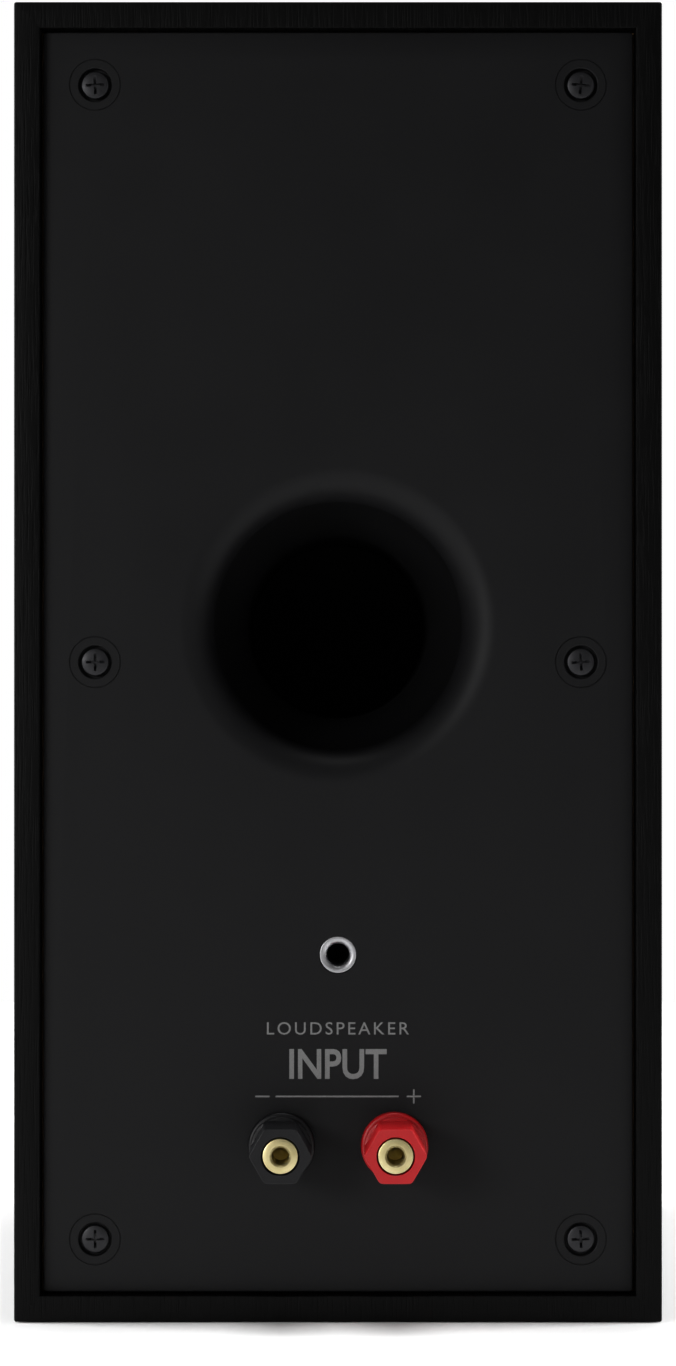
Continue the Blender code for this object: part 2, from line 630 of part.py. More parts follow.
# One binding post on its own axis, with z = 0 at the panel's outer face.
def binding_post(color, side):
    post = axis(f"{color}_post_axis", side * POST_SPACING / 2, PANEL_Y, POST_HEIGHT, faces_rear=True)
    plastic = f"{color}_plastic"
    spigot = -SPIGOT_LENGTH + GAP
    bore = SHANK_RADIUS + GAP
    outline = [(bore, spigot), (SPIGOT_RADIUS, spigot), (SPIGOT_RADIUS, GAP), (COLLAR_RADIUS, GAP)]
    outline += [(COLLAR_RADIUS, COLLAR_TOP - COLLAR_CHAMFER), (COLLAR_RADIUS - COLLAR_CHAMFER, COLLAR_TOP)]
    outline.append((bore, COLLAR_TOP))
    bm = bmesh.new()
    turned(bm, outline, MEDIUM)
    piece(f"{color}_post_collar", bm, post, plastic)

    bm = bmesh.new()
    tube(bm, STUD_RADIUS + GAP, WASHER_RADIUS, COLLAR_TOP + GAP, WASHER_TOP, MEDIUM)
    piece(f"{color}_post_washer", bm, post, "gold_plate")

    bm = bmesh.new()
    prism(bm, hexagon(CAP_FLATS), CAP_BOTTOM, CAP_TOP)
    cap = piece(f"{color}_post_cap", bm, post, plastic)
    bm = bmesh.new()
    cylinder(bm, CAP_FLANGE_RADIUS, CAP_BOTTOM, CAP_BOTTOM + CAP_FLANGE_THICK, MEDIUM)
    boolean(cap, "UNION", f"add_{color}_flange", bm)
    bm = bmesh.new()
    cylinder(bm, STUD_RADIUS + CAP_CLEARANCE, CAP_BOTTOM - GAP, CAP_TOP + GAP, MEDIUM)
    boolean(cap, "DIFFERENCE", f"cut_{color}_cap_bore", bm)

    top = CAP_TOP - STUD_SINK
    mouth = BANANA_RADIUS + BANANA_CHAMFER
    floor = top - BANANA_DEPTH
    end = BOARD_FRONT - STUD_END
    shoulder = COLLAR_TOP + GAP
    outline = [(0, end), (SHANK_RADIUS, end), (SHANK_RADIUS, shoulder), (STUD_RADIUS, shoulder)]
    outline += [(STUD_RADIUS, top - STUD_CHAMFER), (STUD_RADIUS - STUD_CHAMFER, top), (mouth, top)]
    outline += [(BANANA_RADIUS, top - BANANA_CHAMFER), (BANANA_RADIUS, floor)]
    outline.append((0, floor - BANANA_RADIUS * DRILL_POINT))
    bm = bmesh.new()
    turned(bm, outline, MEDIUM)
    stud = piece(f"{color}_post_stud", bm, post, "gold_plate")
    bm = bmesh.new()
    cylinder(bm, WIRE_HOLE_RADIUS, -2 * STUD_RADIUS, 2 * STUD_RADIUS, SMALL)
    bmesh.ops.rotate(bm, verts=bm.verts, cent=(0, 0, 0), matrix=Matrix.Rotation(math.pi / 2, 3, "Y"))
    bmesh.ops.translate(bm, verts=bm.verts, vec=(0, 0, CAP_BOTTOM + WIRE_HOLE_RADIUS))
    boolean(stud, "DIFFERENCE", f"cut_{color}_wire_hole", bm)

    bm = bmesh.new()
    prism(bm, hexagon(NUT_FLATS), -PANEL_THICK - GAP - NUT_LENGTH, -PANEL_THICK - GAP)
    nut = piece(f"{color}_post_nut", bm, post, "zinc_steel")
    bm = bmesh.new()
    cylinder(bm, bore, -PANEL_THICK - NUT_LENGTH - 2 * GAP, -PANEL_THICK, SMALL)
    boolean(nut, "DIFFERENCE", f"cut_{color}_nut_bore", bm)


# ---- crossover and damping
def crossover(rear):
    bm = bmesh.new()
    low = (-BOARD_WIDTH / 2, BOARD_BOTTOM, BOARD_FRONT)
    box(bm, low, (BOARD_WIDTH / 2, BOARD_BOTTOM + BOARD_HEIGHT, BOARD_BACK))
    circuit = piece("crossover_board", bm, rear, "circuit_board")
    bm = bmesh.new()
    for side in (-1, 1):
        centre = (side * POST_SPACING / 2, POST_HEIGHT)
        cylinder(bm, SHANK_RADIUS + GAP, BOARD_FRONT - GAP, BOARD_BACK + GAP, SMALL, centre)
    boolean(circuit, "DIFFERENCE", "cut_board_holes", bm)

    seat = BOARD_FRONT - GAP
    far = seat - COIL_HEIGHT
    upper = seat - COIL_FLANGE
    lower = far + COIL_FLANGE
    waist = COIL_RADIUS - COIL_FLANGE
    outline = [(COIL_BORE, seat), (COIL_RADIUS, seat), (COIL_RADIUS, upper), (waist, upper)]
    outline += [(waist, lower), (COIL_RADIUS, lower), (COIL_RADIUS, far), (COIL_BORE, far)]
    bm = bmesh.new()
    turned(bm, outline, MEDIUM, (-PART_X, BOARD_BOTTOM + COIL_RADIUS))
    piece("crossover_inductor", bm, rear, "copper_winding")

    half = CAPACITOR_LENGTH / 2
    edge = CAPACITOR_RADIUS - CAPACITOR_CHAMFER
    side = half - CAPACITOR_CHAMFER
    bm = bmesh.new()
    outline = [(0, -half), (edge, -half), (CAPACITOR_RADIUS, -side), (CAPACITOR_RADIUS, side)]
    turned(bm, outline + [(edge, half), (0, half)], SMALL)
    bmesh.ops.rotate(bm, verts=bm.verts, cent=(0, 0, 0), matrix=Matrix.Rotation(math.pi / 2, 3, "X"))
    middle = BOARD_BOTTOM + BOARD_HEIGHT / 2
    bmesh.ops.translate(bm, verts=bm.verts, vec=(PART_X, middle, seat - CAPACITOR_RADIUS))
    piece("crossover_capacitor", bm, rear, "capacitor_film")

    bm = bmesh.new()
    top = BOARD_BOTTOM + BOARD_HEIGHT - RESISTOR_DROP
    low = (-RESISTOR_LENGTH / 2, top - RESISTOR_SIDE, seat - RESISTOR_SIDE)
    box(bm, low, (RESISTOR_LENGTH / 2, top, seat))
    bmesh.ops.bevel(bm, geom=bm.edges, offset=RESISTOR_CHAMFER, segments=1, affect="EDGES")
    piece("crossover_resistor", bm, rear, "ceramic")


def damping_wadding():
    half_width = WIDTH / 2 - WALL - WADDING_SIDE_GAP
    top = HEIGHT - WALL - WADDING_TOP_GAP
    bm = bmesh.new()
    low = (-half_width, -WADDING_DEPTH / 2, top - WADDING_THICK)
    box(bm, low, (half_width, WADDING_DEPTH / 2, top))
    bmesh.ops.bevel(bm, geom=bm.edges, offset=WADDING_ROUND, segments=2, profile=0.5, affect="EDGES")
    piece("damping_wadding", bm, None, "wadding")


# Points read every few millimetres from a smooth curve through the route's own points.
def smooth_route(points, spacing):
    points = [Vector(point) for point in points]
    knots = [2 * points[0] - points[1]] + points + [2 * points[-1] - points[-2]]
    route = [points[0]]
    for a, b, c, d in zip(knots, knots[1:], knots[2:], knots[3:]):
        steps = max(1, round((c - b).length / spacing))
        for step in range(1, steps + 1):
            t = step / steps
            bend = 2 * a - 5 * b + 4 * c - d
            swing = 3 * b - a - 3 * c + d
            route.append(0.5 * (2 * b + (c - a) * t + bend * t * t + swing * t * t * t))
    return route


def cable(name, points):
    curve = bpy.data.curves.new(name, "CURVE")
    curve.dimensions = "3D"
    curve.bevel_depth = CABLE_RADIUS
    curve.bevel_resolution = 2
    curve.use_fill_caps = True
    route = smooth_route(points, 5 * CABLE_RADIUS)
    spline = curve.splines.new("POLY")
    spline.points.add(len(route) - 1)
    for point, place in zip(spline.points, route):
        point.co = (*place, 1.0)
    add_object(name, curve, None, "cable_jacket")


def cables():
    start = PANEL_Y + BOARD_FRONT - GAP
    woofer_end = -DEPTH / 2 - WOOFER_BLOCK_BACK + GAP
    woofer_z = WOOFER_HEIGHT - WOOFER_BLOCK_END + BLOCK_REACH / 2
    cable("woofer_cable", [
        (0.000, start, 0.026),
        (0.000, start - 0.012, 0.026),
        (0.004, 0.030, 0.020),
        (0.012, -0.010, 0.019),
        (0.004, -0.040, woofer_z - 0.004),
        (0.000, woofer_end + 0.010, woofer_z),
        (0.000, woofer_end, woofer_z),
    ])
    tweeter_end = -DEPTH / 2 - TWEETER_BLOCK_BACK + GAP
    tweeter_z = TWEETER_HEIGHT - TWEETER_BLOCK_END + BLOCK_REACH / 2
    cable("tweeter_cable", [
        (0.036, start, 0.062),
        (0.036, start - 0.010, 0.062),
        (0.043, 0.040, 0.086),
        (0.047, 0.008, 0.130),
        (0.043, -0.020, 0.168),
        (0.022, -0.042, tweeter_z - 0.006),
        (0.003, tweeter_end + 0.014, tweeter_z - 0.001),
        (0.000, tweeter_end, tweeter_z),
    ])


# ---- woofer, on its own axis with z = 0 at the baffle's front
def woofer_frame(woofer):
    seat = -FLANGE_SINK - SEAT_DEPTH
    basket = SEAT_RADIUS - BASKET_SLIP
    seat_inner = SEAT_RADIUS - SEAT_WIDTH
    ledge_inner = LEDGE_RADIUS - LEDGE_WIDTH
    floor = CUP_BACK + CUP_FLOOR
    outline = [(WOOFER_RADIUS, -FLANGE_SINK), (WOOFER_RADIUS, FLANGE_BACK), (basket, FLANGE_BACK)]
    outline += [(CUP_RADIUS, LEDGE_TOP + BASKET_BEND), (CUP_RADIUS, CUP_BACK), (CUP_HOLE, CUP_BACK)]
    outline += [(CUP_HOLE, floor), (ledge_inner, floor), (ledge_inner, LEDGE_TOP), (LEDGE_RADIUS, LEDGE_TOP)]
    outline += [(seat_inner, seat - BASKET_BEND), (seat_inner, seat), (SEAT_RADIUS, seat)]
    outline.append((SEAT_RADIUS, -FLANGE_SINK))
    bm = bmesh.new()
    turned(bm, outline, LARGE)
    frame = piece("woofer_frame", bm, woofer, "stamped_steel")

    bm = bmesh.new()
    low = (-BLOCK_WIDTH / 2, -WOOFER_BLOCK_END, WOOFER_BLOCK_BACK)
    box(bm, low, (BLOCK_WIDTH / 2, -CUP_RADIUS + BLOCK_ROOT, WOOFER_BLOCK_BACK + BLOCK_DEPTH))
    boolean(frame, "UNION", "add_woofer_block", bm)

    bm = bmesh.new()
    for k in range(WINDOWS):
        near = (LEDGE_RADIUS - LEDGE_WIDTH, -WINDOW_WIDTH / 2, -WINDOW_BOTTOM)
        window = bmesh.new()
        box(window, near, (WOOFER_RADIUS, WINDOW_WIDTH / 2, -WINDOW_TOP))
        turn = Matrix.Rotation(math.radians(WINDOW_START + 360 * k / WINDOWS), 4, "Z")
        window.transform(turn)
        shape = bpy.data.meshes.new("window")
        window.to_mesh(shape)
        window.free()
        bm.from_mesh(shape)
        bpy.data.meshes.remove(shape)
    for spot in around(WOOFER_SCREW_CIRCLE, 4, 45):
        cylinder(bm, SCREW_HOLE, FLANGE_BACK - GAP, 0, TINY, spot)
    boolean(frame, "DIFFERENCE", "cut_basket", bm)


def woofer_surround(woofer):
    low = SURROUND_BASE
    high = low + SURROUND_THICK
    middle = (low + high) / 2
    outer = ROLL_RADIUS + SURROUND_THICK / 2
    inner = ROLL_RADIUS - SURROUND_THICK / 2
    start = math.degrees(math.asin(SURROUND_THICK / 2 / outer))
    edge = SEAT_RADIUS - GAP
    lip = CONE_RADIUS - CONE_LIP
    outline = [(ROLL_CENTRE + inner, low), (edge, low), (edge, high)]
    outline += arc((ROLL_CENTRE, middle), (outer, outer), start, 180 - start, 4)
    outline += [(lip, high), (lip, low), (ROLL_CENTRE - inner, low)]
    outline += arc((ROLL_CENTRE, middle), (inner, inner), 180, 0, 4)
    bm = bmesh.new()
    turned(bm, outline, LARGE)
    piece("woofer_surround", bm, woofer, "rubber")


# Height of the cone's front at a radius: flat under the surround's lip, then curving down to the neck.
def cone_height(radius):
    lip = CONE_RADIUS - CONE_LIP
    along = min(1.0, (radius - CONE_NECK) / (lip - CONE_NECK))
    return CONE_TOP - CONE_DEPTH * (1 - along) ** CONE_CURVE


def woofer_cone(woofer):
    lip = CONE_RADIUS - CONE_LIP
    radii = [CONE_NECK + (lip - CONE_NECK) * step / 4 for step in range(5)] + [CONE_RADIUS]
    front = [(radius, cone_height(radius)) for radius in radii]
    back = [(radius, cone_height(radius) - CONE_THICK) for radius in reversed(radii)]
    bm = bmesh.new()
    turned(bm, front + back, LARGE)
    piece("woofer_cone", bm, woofer, "cone_paper")


def dome_outline(radius, rise, thick, base, steps):
    shares = [math.sin(math.radians(90 * step / steps)) for step in range(steps + 1)]
    inner = radius - thick
    inside = [(inner * share, base + (rise - thick) * (1 - share * share)) for share in shares]
    outside = [(radius * share, base + rise * (1 - share * share)) for share in reversed(shares)]
    return inside + outside


def dust_cap(woofer):
    base = cone_height(DUST_CAP_RADIUS) + GAP
    bm = bmesh.new()
    turned(bm, dome_outline(DUST_CAP_RADIUS, DUST_CAP_RISE, DUST_CAP_THICK, base, 4), MEDIUM)
    piece("woofer_dust_cap", bm, woofer, "cone_paper")


def woofer_voice_coil(woofer):
    bottom = FORMER_TOP - FORMER_LENGTH
    wound = bottom + WINDING_END
    outer = FORMER_OUTER + WINDING_THICK
    outline = [(FORMER_RADIUS, FORMER_TOP), (FORMER_RADIUS, bottom), (FORMER_OUTER, bottom)]
    outline += [(FORMER_OUTER, wound), (outer, wound), (outer, wound + WINDING_LENGTH)]
    outline.append((FORMER_OUTER, wound + WINDING_LENGTH))
    outline.append((FORMER_OUTER, FORMER_TOP))
    bm = bmesh.new()
    turned(bm, outline, MEDIUM)
    piece("woofer_voice_coil", bm, woofer, "former_foil")


def woofer_spider(woofer):
    middle = LEDGE_TOP + GAP + SPIDER_THICK / 2
    outer = LEDGE_RADIUS - SLIP
    first = FORMER_OUTER + SPIDER_COLLAR
    last = LEDGE_RADIUS - LEDGE_WIDTH - SPIDER_RIM
    count = 2 * SPIDER_WAVES
    radii = [first + (last - first) * step / count for step in range(count + 1)]
    waves = [middle + SPIDER_WAVE_HEIGHT * math.cos(math.pi * step) for step in range(count + 1)]
    line = [(FORMER_OUTER + GAP, middle)] + list(zip(radii, waves)) + [(outer, middle)]
    half = SPIDER_THICK / 2
    top = [(radius, height + half) for radius, height in line]
    under = [(radius, height - half) for radius, height in reversed(line)]
    bm = bmesh.new()
    turned(bm, top + under, MEDIUM)
    piece("woofer_spider", bm, woofer, "spider_cloth")


def woofer_motor(woofer):
    bm = bmesh.new()
    plate = WOOFER_PLATE_TOP - WOOFER_PLATE_THICK
    tube(bm, WOOFER_PLATE_BORE, WOOFER_PLATE_RADIUS, plate, WOOFER_PLATE_TOP, MEDIUM)
    piece("woofer_top_plate", bm, woofer, "zinc_steel")
    bm = bmesh.new()
    back = WOOFER_MAGNET_TOP - WOOFER_MAGNET_THICK
    magnet_bore = WOOFER_PLATE_BORE + WOOFER_MAGNET_CLEARANCE
    tube(bm, magnet_bore, WOOFER_MAGNET_RADIUS, back, WOOFER_MAGNET_TOP, MEDIUM)
    piece("woofer_magnet", bm, woofer, "ferrite")
    end = WOOFER_YOKE_TOP - WOOFER_PLATE_THICK
    outline = [(VENT_RADIUS, end), (WOOFER_PLATE_RADIUS, end), (WOOFER_PLATE_RADIUS, WOOFER_YOKE_TOP)]
    outline += [(WOOFER_POLE, WOOFER_YOKE_TOP), (WOOFER_POLE, WOOFER_PLATE_TOP)]
    outline.append((VENT_RADIUS, WOOFER_PLATE_TOP))
    bm = bmesh.new()
    turned(bm, outline, MEDIUM)
    piece("woofer_yoke", bm, woofer, "zinc_steel")


def driver_screws(parent, prefix, circle, mesh):
    for number, (x, y) in enumerate(around(circle, 4, 45), start=1):
        turn = math.radians(DRIVER_SCREW_TURN * number)
        add_object(f"{prefix}_screw_{number}", mesh, parent, None, (x, y, -FLANGE_SINK + GAP), turn)


# ---- tweeter, on its own axis with z = 0 at the baffle's front
def tweeter_faceplate(tweeter):
    centre = (HORN_MOUTH, HORN_END)
    reach = HORN_MOUTH - HORN_THROAT
    outline = [(TWEETER_RADIUS, -FLANGE_SINK), (TWEETER_RADIUS, FLANGE_BACK)]
    outline += arc(centre, (reach - HORN_WALL, FLANGE_BACK - HORN_END), 90, 180, 3)
    outline += [(TWEETER_FLANGE, HORN_END), (TWEETER_FLANGE, TWEETER_FLANGE_BACK)]
    outline.append((HORN_THROAT, TWEETER_FLANGE_BACK))
    outline += arc(centre, (reach, HORN_DEPTH), 180, 90, 4)
    bm = bmesh.new()
    turned(bm, outline, LARGE)
    faceplate = piece("tweeter_faceplate", bm, tweeter, "black_plastic")
    bm = bmesh.new()
    low = (-BLOCK_WIDTH / 2, -TWEETER_BLOCK_END, TWEETER_BLOCK_BACK)
    inner = (TWEETER_PLATE_RADIUS + TWEETER_FLANGE) / 2
    box(bm, low, (BLOCK_WIDTH / 2, -inner, TWEETER_BLOCK_BACK + BLOCK_DEPTH))
    boolean(faceplate, "UNION", "add_tweeter_block", bm)
    bm = bmesh.new()
    for spot in around(TWEETER_SCREW_CIRCLE, 4, 45):
        cylinder(bm, SCREW_HOLE, FLANGE_BACK - GAP, 0, TINY, spot)
    boolean(faceplate, "DIFFERENCE", "cut_faceplate_holes", bm)


def tweeter_suspension(tweeter):
    low = TWEETER_PLATE_TOP + GAP
    high = low + SUSPENSION_THICK
    middle = (low + high) / 2
    inner_edge = DOME_RADIUS + GAP
    outer_edge = HORN_THROAT - GAP
    centre = (inner_edge + outer_edge) / 2
    outer = SUSPENSION_ROLL + SUSPENSION_THICK / 2
    inner = SUSPENSION_ROLL - SUSPENSION_THICK / 2
    start = math.degrees(math.asin(SUSPENSION_THICK / 2 / outer))
    outline = [(centre + inner, low), (outer_edge, low), (outer_edge, high)]
    outline += arc((centre, middle), (outer, outer), start, 180 - start, 4)
    outline += [(inner_edge, high), (inner_edge, low), (centre - inner, low)]
    outline += arc((centre, middle), (inner, inner), 180, 0, 4)
    bm = bmesh.new()
    turned(bm, outline, MEDIUM)
    piece("tweeter_suspension", bm, tweeter, "rubber")


def tweeter_motor(tweeter):
    base = TWEETER_PLATE_TOP + GAP
    bm = bmesh.new()
    turned(bm, dome_outline(DOME_RADIUS, DOME_RISE, DOME_THICK, base, 4), MEDIUM)
    piece("tweeter_dome", bm, tweeter, "dome_silk")
    bm = bmesh.new()
    coil_top = base - GAP
    tube(bm, DOME_COIL_RADIUS, DOME_COIL_OUTER, coil_top - DOME_COIL_LENGTH, coil_top, MEDIUM)
    piece("tweeter_voice_coil", bm, tweeter, "copper_winding")
    bm = bmesh.new()
    plate = TWEETER_PLATE_TOP - TWEETER_PLATE_THICK
    tube(bm, DOME_COIL_OUTER + SLIP, TWEETER_PLATE_RADIUS, plate, TWEETER_PLATE_TOP, MEDIUM)
    piece("tweeter_top_plate", bm, tweeter, "zinc_steel")
    bm = bmesh.new()
    back = TWEETER_MAGNET_TOP - TWEETER_MAGNET_THICK
    tube(bm, TWEETER_MAGNET_BORE, TWEETER_PLATE_RADIUS, back, TWEETER_MAGNET_TOP, MEDIUM)
    piece("tweeter_magnet", bm, tweeter, "ferrite")
    end = TWEETER_YOKE_TOP - TWEETER_PLATE_THICK
    pole = DOME_COIL_RADIUS - SLIP
    outline = [(0, end), (TWEETER_YOKE_RADIUS, end), (TWEETER_YOKE_RADIUS, TWEETER_YOKE_TOP)]
    outline += [(pole, TWEETER_YOKE_TOP), (pole, TWEETER_PLATE_TOP), (0, TWEETER_PLATE_TOP)]
    bm = bmesh.new()
    turned(bm, outline, MEDIUM)
    piece("tweeter_yoke", bm, tweeter, "zinc_steel")


# ---- grille, in the front's own axes
def grille_frame(front):
    middle = (0, HEIGHT / 2)
    bm = bmesh.new()
    outline = rounded_rectangle(GRILLE_HALF_WIDTH, GRILLE_HALF_HEIGHT, GRILLE_CORNER, middle)
    prism(bm, outline, GRILLE_STANDOFF, GRILLE_FRONT)
    frame = piece("grille_frame", bm, front, "black_plastic")
    bm = bmesh.new()
    edge = HEIGHT / 2 - GRILLE_HALF_HEIGHT + GRILLE_BAR
    for low, high in (
        (edge, CROSSBAR_HEIGHT - GRILLE_BAR / 2),
        (CROSSBAR_HEIGHT + GRILLE_BAR / 2, HEIGHT - edge),
    ):
        half_width = GRILLE_HALF_WIDTH - GRILLE_BAR
        window = rounded_rectangle(half_width, (high - low) / 2, GRILLE_WINDOW_CORNER, (0, (low + high) / 2))
        prism(bm, window, GRILLE_STANDOFF - GAP, GRILLE_FRONT + GAP)
    boolean(frame, "DIFFERENCE", "cut_grille_windows", bm)
    bm = bmesh.new()
    for sx in (-1, 1):
        for sz in (-1, 1):
            spot = (sx * PEG_X, HEIGHT / 2 + sz * PEG_Z)
            cylinder(bm, PEG_RADIUS, GRILLE_STANDOFF - PEG_LENGTH, GRILLE_FRONT / 2, SMALL, spot)
    boolean(frame, "UNION", "add_grille_pegs", bm)


def grille_cloth(front):
    middle = (0, HEIGHT / 2)
    grow = GAP + CLOTH_THICK
    corner = GRILLE_CORNER + grow
    low = GRILLE_STANDOFF + SLIP
    bm = bmesh.new()
    outline = rounded_rectangle(GRILLE_HALF_WIDTH + grow, GRILLE_HALF_HEIGHT + grow, corner, middle)
    prism(bm, outline, low, GRILLE_FRONT + grow)
    cloth = piece("grille_cloth", bm, front, "grille_cloth")
    bm = bmesh.new()
    corner = GRILLE_CORNER + GAP
    hollow = rounded_rectangle(GRILLE_HALF_WIDTH + GAP, GRILLE_HALF_HEIGHT + GAP, corner, middle)
    prism(bm, hollow, low - GAP, GRILLE_FRONT + GAP)
    boolean(cloth, "DIFFERENCE", "cut_cloth_hollow", bm)


def build():
    clear_scene()
    front = axis("front_axis", 0, -DEPTH / 2, 0)
    rear = axis("rear_axis", 0, PANEL_Y, 0, faces_rear=True)
    woofer = axis("woofer_axis", 0, -DEPTH / 2, WOOFER_HEIGHT)
    tweeter = axis("tweeter_axis", 0, -DEPTH / 2, TWEETER_HEIGHT)
    screw = screw_mesh()

    cabinet()
    front_baffle(front)
    rear_cleats(rear)
    rear_panel(rear)
    rear_gasket(rear)
    port_tube(rear)
    rear_screws(rear, screw)
    threaded_insert(rear)
    binding_post("black", 1)
    binding_post("red", -1)
    crossover(rear)
    cables()
    damping_wadding()

    woofer_frame(woofer)
    woofer_surround(woofer)
    woofer_cone(woofer)
    dust_cap(woofer)
    woofer_voice_coil(woofer)
    woofer_spider(woofer)
    woofer_motor(woofer)
    driver_screws(woofer, "woofer", WOOFER_SCREW_CIRCLE, screw)

    tweeter_faceplate(tweeter)
    tweeter_suspension(tweeter)
    tweeter_motor(tweeter)
    driver_screws(tweeter, "tweeter", TWEETER_SCREW_CIRCLE, screw)

    grille_frame(front)
    grille_cloth(front)


build()
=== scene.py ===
import math
import random

import bmesh
import bpy
from mathutils import Matrix, Vector
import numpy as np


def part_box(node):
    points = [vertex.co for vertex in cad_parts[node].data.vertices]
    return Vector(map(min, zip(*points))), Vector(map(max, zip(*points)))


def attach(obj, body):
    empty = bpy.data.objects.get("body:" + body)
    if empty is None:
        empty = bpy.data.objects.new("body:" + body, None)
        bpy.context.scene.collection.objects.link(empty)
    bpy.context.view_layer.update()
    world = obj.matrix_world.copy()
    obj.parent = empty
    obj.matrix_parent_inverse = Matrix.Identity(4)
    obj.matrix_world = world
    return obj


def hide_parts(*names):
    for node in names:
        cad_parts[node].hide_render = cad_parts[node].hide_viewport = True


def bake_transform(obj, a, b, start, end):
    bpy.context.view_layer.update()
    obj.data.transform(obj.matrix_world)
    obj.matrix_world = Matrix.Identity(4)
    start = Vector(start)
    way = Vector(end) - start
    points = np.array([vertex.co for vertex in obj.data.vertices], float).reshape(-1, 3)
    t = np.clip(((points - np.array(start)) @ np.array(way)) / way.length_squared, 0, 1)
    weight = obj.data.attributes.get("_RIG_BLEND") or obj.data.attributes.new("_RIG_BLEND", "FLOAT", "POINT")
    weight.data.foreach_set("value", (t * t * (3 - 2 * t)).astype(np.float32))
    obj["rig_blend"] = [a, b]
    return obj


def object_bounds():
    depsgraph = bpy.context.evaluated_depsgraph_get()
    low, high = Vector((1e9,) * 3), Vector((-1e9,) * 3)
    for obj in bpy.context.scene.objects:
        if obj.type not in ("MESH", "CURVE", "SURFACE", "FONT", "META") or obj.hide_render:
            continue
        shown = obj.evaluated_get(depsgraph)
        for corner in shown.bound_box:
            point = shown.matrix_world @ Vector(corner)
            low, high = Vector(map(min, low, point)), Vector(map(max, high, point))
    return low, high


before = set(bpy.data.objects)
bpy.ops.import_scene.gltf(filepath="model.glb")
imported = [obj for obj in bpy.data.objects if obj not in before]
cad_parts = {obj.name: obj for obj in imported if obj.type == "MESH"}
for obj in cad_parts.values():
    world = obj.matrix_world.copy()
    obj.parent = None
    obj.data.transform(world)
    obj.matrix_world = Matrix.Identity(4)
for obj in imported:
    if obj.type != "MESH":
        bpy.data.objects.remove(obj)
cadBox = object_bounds()
mm = 0.001
print("frame loaded:", len(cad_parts), "nodes")


def low(node):
    return Vector(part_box(node)[0])


def high(node):
    return Vector(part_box(node)[1])


def middle(node):
    return (low(node) + high(node)) / 2


cabinetSize = {
    "halfWidth": high("front_baffle").x,
    "height": high("front_baffle").z,
    "frontFace": low("front_baffle").y,
    "rearEdge": high("cabinet_left").y,
    "panelFace": high("rear_panel").y,
    "woofer": (0, low("front_baffle").y, middle("woofer_cone").z),
    "tweeter": (0, low("front_baffle").y, middle("tweeter_dome").z),
    "port": (0, high("rear_panel").y, middle("port_tube").z),
    "insert": (0, high("rear_panel").y, middle("threaded_insert").z),
}


# How far out of the rear panel's face, or out of the baffle's, a node starts and ends.
def rearSpan(node):
    return low(node).y - cabinetSize["panelFace"], high(node).y - cabinetSize["panelFace"]


def frontSpan(node):
    return cabinetSize["frontFace"] - high(node).y, cabinetSize["frontFace"] - low(node).y


# The camera stands straight behind the cabinet, level with the port.
studio = {
    "lens": 100,
    "filmWidth": 36,
    "cameraPlace": (0.0, 0.9729, 0.14788),
    "aim": (0, 0, 0.13),
    "overheadWatts": 76.0,
    "keyWatts": 11.0,
    "fillWatts": 1.6,
    "sideWatts": 40.0,
    "frontWatts": 7.0,  # for the views from the grille's side
    "roomGlow": 0.14,
    "floorRadius": 0.8,
}


def hexColor(text):
    parts = [int(text[i:i + 2], 16) / 255 for i in (1, 3, 5)]
    return tuple(c / 12.92 if c <= 0.04045 else ((c + 0.055) / 1.055) ** 2.4 for c in parts) + (1.0,)


# Adds a node, sets its inputs by name or number and its other settings, and links sockets into it.
def addNode(tree, kind, settings=None, links=None):
    node = tree.nodes.new(kind)
    for key, value in (settings or {}).items():
        if isinstance(key, int) or key in node.inputs:
            node.inputs[key].default_value = value
        else:
            setattr(node, key, value)
    for key, source in (links or {}).items():
        tree.links.new(source, node.inputs[key])
    return node


def addLight(name, place, target, size, watts):
    data = bpy.data.lights.new(name, "AREA")
    data.shape = "RECTANGLE"
    data.size, data.size_y = size
    data.energy = watts
    light = bpy.data.objects.new(name, data)
    light.location = place
    light.rotation_euler = (Vector(target) - Vector(place)).to_track_quat("-Z", "Y").to_euler()
    bpy.context.scene.collection.objects.link(light)


